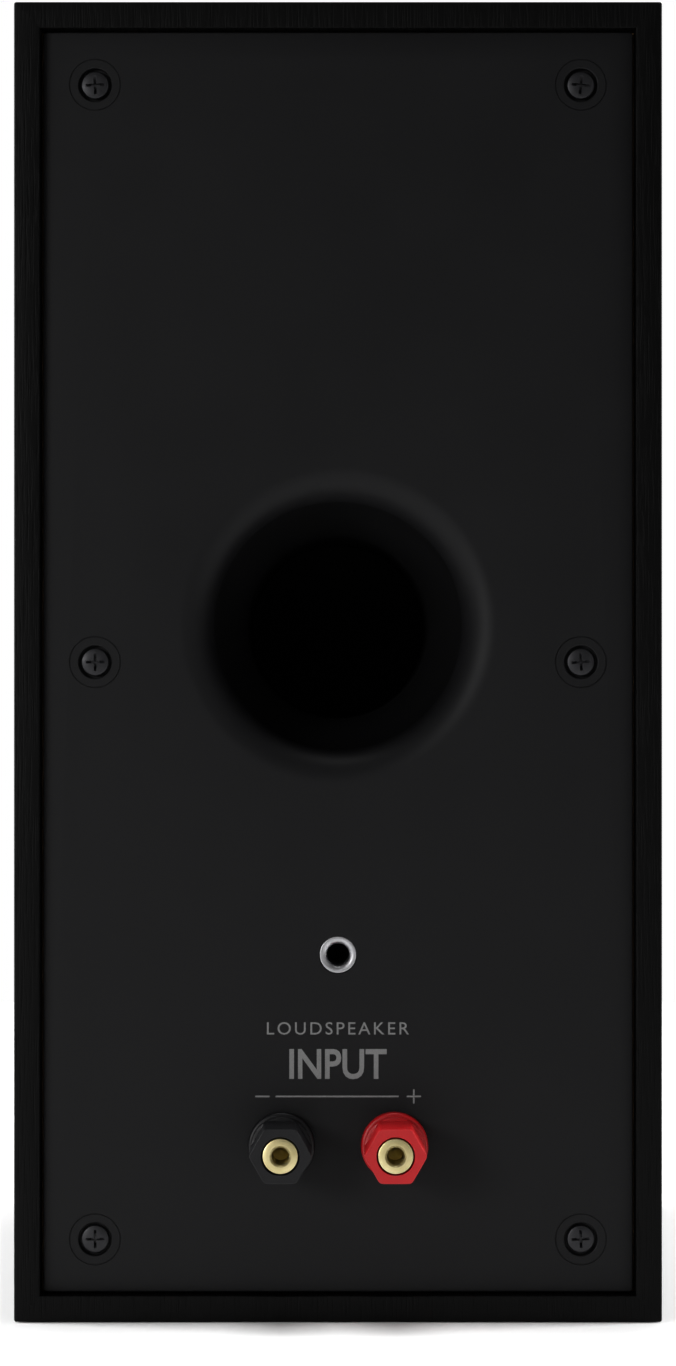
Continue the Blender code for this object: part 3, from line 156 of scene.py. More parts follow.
def buildStudio():
    scene = bpy.context.scene
    data = bpy.data.cameras.new("camera")
    data.lens = studio["lens"]
    data.sensor_width = studio["filmWidth"]
    data.clip_start = 0.01
    camera = bpy.data.objects.new("camera", data)
    camera.location = studio["cameraPlace"]
    camera.rotation_euler = (math.pi / 2, 0, math.pi)
    scene.collection.objects.link(camera)
    scene.camera = camera

    # The overhead light is level with the cabinet, so that a rim of shade lies at its foot.
    aim = studio["aim"]
    addLight("overheadSoftbox", (0, 0.05, 4.0), (0, 0.05, 0), (1.4, 0.8), studio["overheadWatts"])
    addLight("keyRear", (0.85, 1.25, 0.36), aim, (0.5, 0.35), studio["keyWatts"])
    addLight("fillRear", (-1.1, 1.2, 0.5), aim, (0.9, 0.9), studio["fillWatts"])
    addLight("sideSoftboxLeft", (-1.5, -0.14, 0.45), aim, (0.4, 0.8), studio["sideWatts"])
    addLight("sideSoftboxRight", (1.5, -0.14, 0.45), aim, (0.4, 0.8), studio["sideWatts"])
    addLight("frontLeft", (-0.8, -1.4, 0.9), aim, (0.9, 0.9), studio["frontWatts"])
    addLight("frontRight", (1.2, -1.2, 0.4), aim, (0.7, 0.7), studio["frontWatts"] * 0.5)

    # The room gives a faint even light, and is white to look at.
    world = bpy.data.worlds.new("paleRoom")
    world.use_nodes = True
    tree = world.node_tree
    tree.nodes.clear()
    ray = addNode(tree, "ShaderNodeLightPath")
    tone = addNode(tree, "ShaderNodeMix", {"data_type": "FLOAT", 2: studio["roomGlow"], 3: 1.0},
                   {0: ray.outputs["Is Camera Ray"]})
    glow = addNode(tree, "ShaderNodeBackground", {"Color": (1.0, 1.0, 1.0, 1.0)}, {"Strength": tone.outputs[0]})
    addNode(tree, "ShaderNodeOutputWorld", None, {"Surface": glow.outputs[0]})
    scene.world = world
    scene.view_settings.view_transform = "Standard"


def buildFloor():
    # Matt white paper: smooth and pale, with a faint tooth about 1 mm across and no shine.
    material, tree, shader = startMaterial("mattWhitePaper")
    place = addNode(tree, "ShaderNodeTexCoord").outputs["Object"]
    tooth = addNode(tree, "ShaderNodeTexNoise", {"Scale": 900.0, "Detail": 3.0}, {"Vector": place})
    bump = addNode(tree, "ShaderNodeBump", {"Strength": 0.2, "Distance": 0.0001},
                   {"Height": tooth.outputs["Fac"]})
    shader.inputs["Base Color"].default_value = hexColor("#FAFAFA")
    shader.inputs["Roughness"].default_value = 0.6
    shader.inputs["Specular IOR Level"].default_value = 0.2
    link(tree, bump.outputs[0], shader, "Normal")
    bm = bmesh.new()
    bmesh.ops.create_circle(bm, cap_ends=True, segments=96, radius=studio["floorRadius"])
    mesh = bpy.data.meshes.new("paperFloor")
    bm.to_mesh(mesh)
    bm.free()
    mesh.materials.append(material)
    floor = bpy.data.objects.new("paperFloor", mesh)
    floor.location = (0, 0, cadBox[0][2] - 0.0002)
    bpy.context.scene.collection.objects.link(floor)


# Shapes are made about the origin. Their +Z points out of the rear or out of the front, with its +Y up.
def facingRear(place):
    return Matrix.Translation(place) @ Matrix.Rotation(math.pi, 4, "Z") @ Matrix.Rotation(math.pi / 2, 4, "X")


def facingFront(place):
    return Matrix.Translation(place) @ Matrix.Rotation(math.pi / 2, 4, "X")


# Rounds the corners of a (radius, height[, rounding]) outline with short curves.
def softened(outline, steps, closed=True):
    result = []
    count = len(outline)
    for k, point in enumerate(outline):
        here = Vector(point[:2])
        if len(point) < 3 or (not closed and k in (0, count - 1)):
            result.append(tuple(here))
            continue
        before = Vector(outline[k - 1][:2])
        after = Vector(outline[(k + 1) % count][:2])
        reach = min(point[2], (before - here).length * 0.45, (after - here).length * 0.45)
        start = here + (before - here).normalized() * reach
        end = here + (after - here).normalized() * reach
        for step in range(steps + 1):
            t = step / steps
            result.append(tuple(start * (1 - t) ** 2 + here * 2 * t * (1 - t) + end * t * t))
    return result


def arc(centre, radii, start, end, steps):
    angles = [math.radians(start + (end - start) * step / steps) for step in range(steps + 1)]
    return [(centre[0] + radii[0] * math.cos(a), centre[1] + radii[1] * math.sin(a)) for a in angles]


# Joins rings of points into a closed skin. A ring of one point is a pole. The map "grain" runs across the
# rings in x and around them in y, in metres.
def skin(bm, rings, loop=True):
    grain = bm.loops.layers.uv.verify() if bm.loops.layers.uv else bm.loops.layers.uv.new("grain")
    made = [[bm.verts.new(p) for p in ring] for ring in rings]
    across = 0.0
    pairs = list(zip(range(len(rings)), range(1, len(rings))))
    if loop:
        pairs.append((len(rings) - 1, 0))
    for a, b in pairs:
        first, second = made[a], made[b]
        gap = (Vector(rings[a][0]) - Vector(rings[b][0])).length
        count = max(len(first), len(second))
        girth = 0.0
        for k in range(count):
            n = (k + 1) % count
            wide = rings[a] if len(rings[a]) > 1 else rings[b]
            step = (Vector(wide[k]) - Vector(wide[n])).length
            corners = []
            if len(first) > 1:
                corners += [(first[k], across, girth), (first[n], across, girth + step)]
            else:
                corners.append((first[0], across, girth))
            if len(second) > 1:
                corners += [(second[n], across + gap, girth + step), (second[k], across + gap, girth)]
            else:
                corners.append((second[0], across + gap, girth))
            if len(corners) > 2:
                face = bm.faces.new([c[0] for c in corners])
                for corner, (_, u, v) in zip(face.loops, corners):
                    corner[grain].uv = (u, v)
            girth += step
        across += gap


# Closes the first and the last of the rings that were skinned just before.
def closedEnds(bm, rings):
    bm.verts.ensure_lookup_table()
    size = len(rings[0])
    first = len(bm.verts) - size * len(rings)
    return [bm.faces.new(bm.verts[first:first + size]), bm.faces.new(bm.verts[-size:])]


# A round shape from an outline. One that starts and ends on the axis is closed there.
def turn(bm, outline, steps, centre=(0.0, 0.0)):
    rings = []
    for radius, height in outline:
        if radius < 1e-7:
            rings.append([(centre[0], centre[1], height)])
        else:
            rings.append([
                (centre[0] + radius * math.cos(2 * math.pi * k / steps),
                 centre[1] + radius * math.sin(2 * math.pi * k / steps), height)
                for k in range(steps)
            ])
    skin(bm, rings, loop=outline[0][0] > 1e-7 or outline[-1][0] > 1e-7)


# A plain cylinder from one height to another.
def plug(bm, radius, bottom, top, steps, centre=(0.0, 0.0)):
    turn(bm, [(0, bottom), (radius, bottom), (radius, top), (0, top)], steps, centre)


def roundedLoop(halfWidth, halfHeight, radius, middleOf, steps=4):
    radius = max(radius, 0.00002)
    points = []
    for quarter, (sx, sy) in enumerate([(1, 1), (-1, 1), (-1, -1), (1, -1)]):
        corner = (middleOf[0] + sx * (halfWidth - radius), middleOf[1] + sy * (halfHeight - radius))
        points += arc(corner, (radius, radius), 90 * quarter, 90 * quarter + 90, steps)
    return points


# A slab with rounded corners and softened edges, from one height to another.
def slab(bm, halfWidth, halfHeight, corner, bottom, top, edge=0.0, middleOf=(0.0, 0.0), steps=4):
    levels = [(0.0, bottom), (0.0, top)]
    if edge:
        levels = [(edge * (1 - math.sin(a)), bottom + edge * (1 - math.cos(a)))
                  for a in (math.pi / 6 * k for k in range(4))]
        levels += [(edge * (1 - math.cos(a)), top - edge * (1 - math.sin(a)))
                   for a in (math.pi / 6 * k for k in range(4))]
    rings = []
    for inset, height in levels:
        loop = roundedLoop(halfWidth - inset, halfHeight - inset, corner - inset, middleOf, steps)
        rings.append([(x, y, height) for x, y in loop])
    skin(bm, rings, loop=False)
    grain = bm.loops.layers.uv.verify()
    for face in closedEnds(bm, rings):
        for spot in face.loops:
            spot[grain].uv = spot.vert.co.xy


def looseObject(name, bm):
    bmesh.ops.remove_doubles(bm, verts=bm.verts, dist=1e-6)
    bmesh.ops.recalc_face_normals(bm, faces=bm.faces)
    mesh = bpy.data.meshes.new(name)
    bm.to_mesh(mesh)
    bm.free()
    made = bpy.data.objects.new(name, mesh)
    bpy.context.scene.collection.objects.link(made)
    return made


# Joins shapes to a base or cuts them from it, and returns the result.
def combined(base, steps):
    main = looseObject("combineBase", base)
    tools = []
    for operation, shape in steps:
        tool = looseObject("combineTool", shape)
        tools.append(tool)
        modifier = main.modifiers.new("combine", "BOOLEAN")
        modifier.operation = operation
        modifier.solver = "EXACT"
        modifier.object = tool
    mesh = bpy.data.meshes.new_from_object(main.evaluated_get(bpy.context.evaluated_depsgraph_get()))
    result = bmesh.new()
    result.from_mesh(mesh)
    bpy.data.meshes.remove(mesh)
    for used in [main] + tools:
        bpy.data.objects.remove(used)
    return result


# Places a shape and makes it a piece: its materials, the body it rides on, if one, and the CAD nodes it
# stands for.
def finished(name, bm, place, materials, body, replaced, sharp=35, doubles=2e-6):
    bmesh.ops.remove_doubles(bm, verts=bm.verts, dist=doubles)
    bmesh.ops.recalc_face_normals(bm, faces=bm.faces)
    bm.transform(place)
    mesh = bpy.data.meshes.new(name)
    bm.to_mesh(mesh)
    bm.free()
    return asPiece(name, mesh, materials, body, replaced, sharp)


def asPiece(name, mesh, materials, body, replaced, sharp):
    mesh.shade_smooth()
    mesh.set_sharp_from_angle(angle=math.radians(sharp))
    if not mesh.materials:
        for material in materials:
            mesh.materials.append(material)
    piece = bpy.data.objects.new(name, mesh)
    bpy.context.scene.collection.objects.link(piece)
    if body:
        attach(piece, body)
    if replaced:
        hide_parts(*replaced)
    return piece


def startMaterial(name):
    material = bpy.data.materials.new(name)
    material.use_nodes = True
    tree = material.node_tree
    return material, tree, tree.nodes["Principled BSDF"]


def link(tree, source, node, socket):
    tree.links.new(source, node.inputs[socket])


# Black wood-grain vinyl film: nearly black, with long fine pores pressed in along the grain and a dull
# satin shine that breaks up along them.
def makeVinyl():
    material, tree, shader = startMaterial("woodGrainVinyl")
    grain = addNode(tree, "ShaderNodeUVMap", {"uv_map": "grain"}).outputs["UV"]
    # Pores 0.4 mm wide and 13 mm long, in bands 6 mm wide and 140 mm long.
    fine = addNode(tree, "ShaderNodeMapping", {"Scale": (2300.0, 75.0, 1.0)}, {"Vector": grain})
    pores = addNode(tree, "ShaderNodeTexNoise", {"Scale": 1.0, "Detail": 2.0, "Roughness": 0.55},
                    {"Vector": fine.outputs[0]})
    pressed = addNode(tree, "ShaderNodeMapRange",
                      {"From Min": 0.30, "From Max": 0.52, "interpolation_type": "SMOOTHSTEP"},
                      {"Value": pores.outputs["Fac"]})
    wide = addNode(tree, "ShaderNodeMapping", {"Scale": (170.0, 7.0, 1.0)}, {"Vector": grain})
    bands = addNode(tree, "ShaderNodeTexNoise", {"Scale": 1.0, "Detail": 4.0, "Distortion": 0.6},
                    {"Vector": wide.outputs[0]})
    tone = addNode(tree, "ShaderNodeMix", {"data_type": "RGBA", 6: hexColor("#030303"), 7: hexColor("#060606")},
                   {0: bands.outputs["Fac"]})
    color = addNode(tree, "ShaderNodeMix", {"data_type": "RGBA", 6: hexColor("#020202")},
                    {0: pressed.outputs[0], 7: tone.outputs[2]})
    shine = addNode(tree, "ShaderNodeMapRange", {"To Min": 0.60, "To Max": 0.42}, {"Value": pressed.outputs[0]})
    relief = addNode(tree, "ShaderNodeBump", {"Strength": 0.7, "Distance": 0.00006},
                     {"Height": pressed.outputs[0]})
    swell = addNode(tree, "ShaderNodeBump", {"Strength": 0.25, "Distance": 0.0002},
                    {"Height": bands.outputs["Fac"], "Normal": relief.outputs[0]})
    link(tree, color.outputs[2], shader, "Base Color")
    link(tree, shine.outputs[0], shader, "Roughness")
    link(tree, swell.outputs[0], shader, "Normal")
    shader.inputs["Specular IOR Level"].default_value = 0.05
    return material


# Moulded plastic from a spark-eroded mould: an even, very fine grain, slightly uneven in its shine. The
# grain's size is in millimetres and its relief in metres.
def makePlastic(name, dark, light, roughness, specular, grainSize, relief):
    material, tree, shader = startMaterial(name)
    place = addNode(tree, "ShaderNodeTexCoord").outputs["Object"]
    grain = addNode(tree, "ShaderNodeTexNoise", {"Scale": 1 / (grainSize * mm), "Detail": 2.0}, {"Vector": place})
    # The tone and the shine drift over about 22 mm.
    flow = addNode(tree, "ShaderNodeTexNoise", {"Scale": 45.0, "Detail": 3.0}, {"Vector": place})
    color = addNode(tree, "ShaderNodeMix", {"data_type": "RGBA", 6: hexColor(dark), 7: hexColor(light)},
                    {0: flow.outputs["Fac"]})
    uneven = addNode(tree, "ShaderNodeMath", {"operation": "MULTIPLY_ADD", 1: 0.10, 2: roughness - 0.05},
                     {0: flow.outputs["Fac"]})
    speck = addNode(tree, "ShaderNodeMath", {"operation": "MULTIPLY_ADD", 1: 0.08},
                    {0: grain.outputs["Fac"], 2: uneven.outputs[0]})
    bump = addNode(tree, "ShaderNodeBump", {"Strength": 0.5, "Distance": relief}, {"Height": grain.outputs["Fac"]})
    link(tree, color.outputs[2], shader, "Base Color")
    link(tree, speck.outputs[0], shader, "Roughness")
    link(tree, bump.outputs[0], shader, "Normal")
    shader.inputs["Specular IOR Level"].default_value = specular
    shader.inputs["IOR"].default_value = 1.53  # ABS and nylon
    return material


# Turned metal: rings 0.12 mm apart left by the tool, a shine that varies round by round, and faint smudges.
def makeTurnedMetal(name, dark, light, roughness):
    material, tree, shader = startMaterial(name)
    grain = addNode(tree, "ShaderNodeUVMap", {"uv_map": "grain"}).outputs["UV"]
    place = addNode(tree, "ShaderNodeTexCoord").outputs["Object"]
    rings = addNode(tree, "ShaderNodeMapping", {"Scale": (1 / (0.12 * mm), 12.0, 1.0)}, {"Vector": grain})
    marks = addNode(tree, "ShaderNodeTexNoise", {"Scale": 1.0, "Detail": 3.0}, {"Vector": rings.outputs[0]})
    # Smudges about 4 mm across.
    smudge = addNode(tree, "ShaderNodeTexNoise", {"Scale": 260.0, "Detail": 4.0}, {"Vector": place})
    mixed = addNode(tree, "ShaderNodeMath", {"operation": "MULTIPLY"},
                    {0: marks.outputs["Fac"], 1: smudge.outputs["Fac"]})
    spread = addNode(tree, "ShaderNodeMapRange", {"From Min": 0.12, "From Max": 0.42}, {"Value": mixed.outputs[0]})
    color = addNode(tree, "ShaderNodeMix", {"data_type": "RGBA", 6: hexColor(dark), 7: hexColor(light)},
                    {0: spread.outputs[0]})
    shine = addNode(tree, "ShaderNodeMapRange", {"To Min": roughness + 0.10, "To Max": roughness - 0.05},
                    {"Value": spread.outputs[0]})
    bump = addNode(tree, "ShaderNodeBump", {"Strength": 0.4, "Distance": 0.000006},
                   {"Height": marks.outputs["Fac"]})
    link(tree, color.outputs[2], shader, "Base Color")
    link(tree, shine.outputs[0], shader, "Roughness")
    link(tree, bump.outputs[0], shader, "Normal")
    shader.inputs["Metallic"].default_value = 1.0
    return material


# Any of the plainer substances: two tones in soft patches, a grain of its own size, and its relief. The
# patches and the grain are in millimetres and the relief in metres.
def makePlain(name, dark, light, roughness, metallic, patch, grainSize, relief, stretch=(1, 1, 1)):
    material, tree, shader = startMaterial(name)
    place = addNode(tree, "ShaderNodeTexCoord").outputs["Object"]
    along = addNode(tree, "ShaderNodeMapping", {"Scale": stretch}, {"Vector": place})
    patches = addNode(tree, "ShaderNodeTexNoise", {"Scale": 1 / (patch * mm), "Detail": 4.0},
                      {"Vector": along.outputs[0]})
    grain = addNode(tree, "ShaderNodeTexNoise", {"Scale": 1 / (grainSize * mm), "Detail": 3.0},
                    {"Vector": along.outputs[0]})
    both = addNode(tree, "ShaderNodeMath", {"operation": "ADD", "use_clamp": True},
                   {0: patches.outputs["Fac"], 1: grain.outputs["Fac"]})
    spread = addNode(tree, "ShaderNodeMapRange", {"From Min": 0.7, "From Max": 1.0}, {"Value": both.outputs[0]})
    color = addNode(tree, "ShaderNodeMix", {"data_type": "RGBA", 6: hexColor(dark), 7: hexColor(light)},
                    {0: patches.outputs["Fac"]})
    shine = addNode(tree, "ShaderNodeMapRange", {"To Min": roughness - 0.06, "To Max": roughness + 0.06},
                    {"Value": spread.outputs[0]})
    bump = addNode(tree, "ShaderNodeBump", {"Strength": 0.6, "Distance": relief}, {"Height": grain.outputs["Fac"]})
    link(tree, color.outputs[2], shader, "Base Color")
    link(tree, shine.outputs[0], shader, "Roughness")
    link(tree, bump.outputs[0], shader, "Normal")
    shader.inputs["Metallic"].default_value = metallic
    return material


# Black stretch knit for a grille: columns of small loops with open dots between them, and a soft sheen.
def makeKnit():
    material, tree, shader = startMaterial("stretchKnit")
    grain = addNode(tree, "ShaderNodeUVMap", {"uv_map": "grain"}).outputs["UV"]
    # The real loops are 0.5 mm apart. They are drawn at 1.3 mm so that they show.
    cells = addNode(tree, "ShaderNodeTexVoronoi",
                    {"feature": "F1", "Scale": 770.0, "Randomness": 0.22, "voronoi_dimensions": "2D"},
                    {"Vector": grain})
    dots = addNode(tree, "ShaderNodeMapRange",
                   {"From Min": 0.10, "From Max": 0.52, "interpolation_type": "SMOOTHSTEP"},
                   {"Value": cells.outputs["Distance"]})
    # Fibres 0.2 mm thick, and a yarn whose tone drifts over 45 mm.
    fuzz = addNode(tree, "ShaderNodeTexNoise", {"Scale": 5200.0, "Detail": 2.0, "noise_dimensions": "2D"},
                   {"Vector": grain})
    drift = addNode(tree, "ShaderNodeTexNoise", {"Scale": 22.0, "Detail": 3.0, "noise_dimensions": "2D"},
                    {"Vector": grain})
    yarn = addNode(tree, "ShaderNodeMix", {"data_type": "RGBA", 6: hexColor("#0E0E0F"), 7: hexColor("#19191B")},
                   {0: drift.outputs["Fac"]})
    color = addNode(tree, "ShaderNodeMix", {"data_type": "RGBA", 6: hexColor("#040404")},
                    {0: dots.outputs[0], 7: yarn.outputs[2]})
    height = addNode(tree, "ShaderNodeMath", {"operation": "MULTIPLY_ADD", 1: 0.25},
                     {0: fuzz.outputs["Fac"], 2: dots.outputs[0]})
    bump = addNode(tree, "ShaderNodeBump", {"Strength": 0.8, "Distance": 0.00018}, {"Height": height.outputs[0]})
    link(tree, color.outputs[2], shader, "Base Color")
    link(tree, bump.outputs[0], shader, "Normal")
    shader.inputs["Roughness"].default_value = 0.92
    shader.inputs["Sheen Weight"].default_value = 0.05
    shader.inputs["Sheen Roughness"].default_value = 0.5
    shader.inputs["Specular IOR Level"].default_value = 0.2
    return material


# Screen-printed ink: a thin grey film, a little uneven where the panel's grain shows through it.
def makeInk():
    material, tree, shader = startMaterial("screenPrintedInk")
    place = addNode(tree, "ShaderNodeTexCoord").outputs["Object"]
    # The panel's grain, about 0.25 mm.
    grain = addNode(tree, "ShaderNodeTexNoise", {"Scale": 4200.0, "Detail": 2.0}, {"Vector": place})
    color = addNode(tree, "ShaderNodeMix", {"data_type": "RGBA", 6: hexColor("#4E4E4E"), 7: hexColor("#686868")},
                    {0: grain.outputs["Fac"]})
    bump = addNode(tree, "ShaderNodeBump", {"Strength": 0.4, "Distance": 0.00001}, {"Height": grain.outputs["Fac"]})
    link(tree, color.outputs[2], shader, "Base Color")
    link(tree, bump.outputs[0], shader, "Normal")
    shader.inputs["Roughness"].default_value = 0.6
    return material


buildStudio()
buildFloor()
finishes = {
    # Wood-grain film: nearly black, its pores catch the light as short upright lines.
    "vinyl": makeVinyl(),
    # Sparked ABS: even charcoal with a dry, soft shine and no reflection to read.
    "panelAbs": makePlastic("sparkTexturedAbs", "#0C0C0D", "#0F0F10", 0.46, 0.09, 0.28, 0.000014),
    # The same, unpolished and duller, and darker than the panel as painted shade, so a hole in it reads as black.
    "darkAbsAndPaintedShade": makePlastic("mattBlackAbs", "#040404", "#070708", 0.60, 0.08, 0.40, 0.000010),
    # Moulded nylon: smoother than the panel, so its flats show as separate greys.
    "blackNylon": makePlastic("blackNylon", "#08080A", "#0C0C0E", 0.36, 0.16, 0.5, 0.000006),
    # The same dyed through: a deep red whose edges turn lighter.
    "redNylon": makePlastic("redNylon", "#94060C", "#A20A10", 0.36, 0.25, 0.5, 0.000006),
    # Thin gold over turned brass: pale straw gold with a blurred gleam.
    "gold": makeTurnedMetal("goldPlatedBrass", "#A89B6C", "#CDC192", 0.36),
    # Nickel over turned brass: light grey, blurred, brighter on its bevel.
    "nickel": makeTurnedMetal("nickelPlatedBrass", "#88888A", "#B0B0B3", 0.36),
    # Black zinc on steel: dark grey, a little glossier than the plastic round it.
    "screwSteel": makePlain("blackZincSteel", "#141416", "#1D1D20", 0.40, 0.6, 1.5, 0.15, 0.000008),
    # Printed ink: a flat mid grey with slightly rough edges of tone.
    "ink": makeInk(),
    # Sprayed matt lacquer on board: near black, even, with a faint orange peel.
    "lacquer": makePlastic("mattBlackLacquer", "#0A0A0B", "#0E0E0F", 0.52, 0.14, 0.6, 0.00002),
    # Stretch knit: soft black with rows of small dots that let no light back.
    "knit": makeKnit(),
    # Sawn fibreboard: warm brown felted fibres, quite dull.
    "fibreboard": makePlain("fibreboard", "#6E5236", "#8A6B49", 0.85, 0.0, 5.0, 0.6, 0.00006),
    # Planed pine: yellow-brown, streaked along its length.
    "pine": makePlain("pineBatten", "#B08A5C", "#CFAE7E", 0.75, 0.0, 5.0, 0.7, 0.00005, (1, 1, 0.08)),
    # Closed-cell foam: dark grey, pitted, without shine.
    "foam": makePlain("closedCellFoam", "#151515", "#232323", 0.95, 0.0, 3.0, 0.5, 0.0001),
    # Enamelled steel: black with a broad soft highlight on the pressed edges.
    "basketSteel": makePlain("blackEnamelledSteel", "#131315", "#1C1C1F", 0.42, 0.25, 9.0, 0.4, 0.00002),
    # Butyl rubber: deep black with a waxy shine along the roll.
    "rubber": makePlain("butylRubber", "#0E0E0F", "#161617", 0.62, 0.0, 8.0, 0.35, 0.00001),
    # Coated paper pulp: charcoal, fibrous and slightly mottled.
    "paper": makePlain("coatedPaperPulp", "#17161A", "#26252A", 0.72, 0.0, 3.0, 0.5, 0.00008),
    # Coated silk: black with a fine weave and a small soft highlight.
    "silk": makePlain("coatedSilk", "#141416", "#1F1F23", 0.5, 0.0, 2.0, 0.25, 0.00003),
    # Resin-dipped cotton: ochre cloth, stiff and dull.
    "spiderCloth": makePlain("resinDippedCotton", "#A67B34", "#C69C52", 0.85, 0.0, 4.0, 0.4, 0.0001),
    # Amber film over foil: warm brown with a metallic gleam.
    "foil": makePlain("amberFoilFormer", "#A8763A", "#C79656", 0.38, 0.7, 6.0, 0.3, 0.00001),
    # Enamelled wire: reddish copper, bright on the crown of each winding.
    "copper": makePlain("enamelledCopperWire", "#8E3E1C", "#B8622F", 0.30, 0.9, 3.0, 0.3, 0.00002),
    # Zinc on steel: bluish grey with cloudy patches of shine.
    "steel": makePlain("zincPlatedSteel", "#8F9296", "#B4B7BB", 0.34, 1.0, 4.0, 0.4, 0.00001),
    # Sintered ferrite: dark stony grey, ground dull.
    "ferrite": makePlain("sinteredFerrite", "#26262A", "#3A3A3E", 0.7, 0.1, 4.0, 0.4, 0.00003),
    # Solder mask over glass fibre: dark glossy green.
    "board": makePlain("greenSolderMask", "#12472C", "#1B5C3A", 0.35, 0.0, 6.0, 0.5, 0.00001),
    # Wrapped film: glossy yellow, a touch darker in patches.
    "film": makePlain("yellowFilmWrap", "#C99A1E", "#DDB23A", 0.35, 0.0, 8.0, 0.5, 0.00001),
    # Cast cement: chalky off-white with a sandy face.
    "cement": makePlain("whiteCement", "#CFCBC0", "#E4E1D8", 0.85, 0.0, 3.0, 0.5, 0.00006),
    # Soft PVC: black, smooth, with a long thin highlight.
    "jacket": makePlain("softPvc", "#141415", "#1E1E20", 0.45, 0.0, 9.0, 0.4, 0.00001),
    # Polyester fibre: white fluff with grey hollows.
    "wadding": makePlain("polyesterWadding", "#CFCDC6", "#F0EEE8", 0.98, 0.0, 7.0, 1.4, 0.0012),
}
print("materials made:", len(finishes))


cabinet = {
    "rimWidth": 6.0 * mm,
    "wall": 12.0 * mm,
    "rebate": 8.0 * mm,
    "foldRound": 0.45 * mm,  # the film's fold round the boards' outer edges
}


# The four boards in one wrap of film. The grain runs up the sides, and over the top and bottom front to
# rear, and folds round onto the rear rim.
def buildCabinet():
    halfWidth = cabinetSize["halfWidth"]
    halfHeight = cabinetSize["height"] / 2
    front = low("cabinet_left").y
    rear = cabinetSize["rearEdge"]
    fold = cabinet["foldRound"]
    rim, wall = cabinet["rimWidth"], cabinet["wall"]
    shoulder = rear - cabinet["rebate"]
    outline = [(0.0, front, 0.0003), (0.0, rear, fold), (rim, rear, fold * 0.6), (rim, shoulder), (wall, shoulder),
               (wall, front)]
    outline = softened(outline, 4)
    bm = bmesh.new()
    grain = bm.loops.layers.uv.new("grain")
    steps = 4
    rings = []
    for inset, y in outline:
        loop = roundedLoop(halfWidth - inset, halfHeight - inset, 0.0006 - inset, (0, halfHeight), steps)
        rings.append([bm.verts.new((x, y, z)) for x, z in loop])
    lengths = [0.0]
    for a, b in zip(outline, outline[1:] + outline[:1]):
        lengths.append(lengths[-1] + math.dist(a, b))
    count = len(rings[0])
    for level in range(len(outline)):
        ahead = (level + 1) % len(outline)
        inside = outline[ahead][0] > rim + 1e-5 or outline[level][0] > rim + 1e-5
        for k in range(count):
            n = (k + 1) % count
            face = bm.faces.new((rings[level][k], rings[level][n], rings[ahead][n], rings[ahead][k]))
            face.material_index = 1 if inside else 0
            side = ((k - steps // 2) // (steps + 1)) % 4  # 0 top, 1 left, 2 bottom, 3 right
            spread = (lengths[level], lengths[level], lengths[level + 1], lengths[level + 1])
            for corner, across in zip(face.loops, spread):
                place = corner.vert.co
                corner[grain].uv = (place.x, across) if side in (0, 2) else (across, place.z)
    nodes = ["cabinet_left", "cabinet_right", "cabinet_top", "cabinet_bottom"]
    finished("cabinetWrap", bm, Matrix.Identity(4), [finishes["vinyl"], finishes["fibreboard"]], "cabinet", nodes)


buildCabinet()
print("cabinet done")


panel = {
    "thick": 3.0 * mm,
    "edgeRound": 0.45 * mm,
    "screwX": 56.4 * mm,
    "screwInset": 18.75 * mm,
    "counterbore": 3.85 * mm,
    "screwHole": 2.1 * mm,
    "bossRadius": 5.9 * mm,  # each screw boss, which shows as a faint ring in the face
    "bossDepth": 4.7 * mm,
    "insertBoss": 7.5 * mm,
    "insertDepth": 12.3 * mm,
    "insertHole": 4.35 * mm,
    "postHole": 5.3 * mm,
    "portMouth": 37.0 * mm,
    "portRound": 8.0 * mm,
    "portBore": 22.0 * mm,
    "taper": 26.0 * mm,
    "postX": abs(middle("black_post_stud").x),
    "postZ": middle("black_post_stud").z,
}


# The bell behind the mouth's rounding, narrowing smoothly to the tube's bore.
def taperPoints(steps, wall=0.0):
    drop = panel["portMouth"] - panel["portRound"] - panel["portBore"]
    for step in range(1, steps + 1):
        t = step / steps
        radius = panel["portBore"] + drop * (1 + math.cos(math.pi * t)) / 2 + wall
        yield radius, -panel["portRound"] - panel["taper"] * t


def screwSpots():
    halfHeight = cabinetSize["height"] / 2
    reach = halfHeight - panel["screwInset"]
    return [(side * panel["screwX"], halfHeight + rise) for rise in (-reach, 0.0, reach) for side in (-1, 1)]


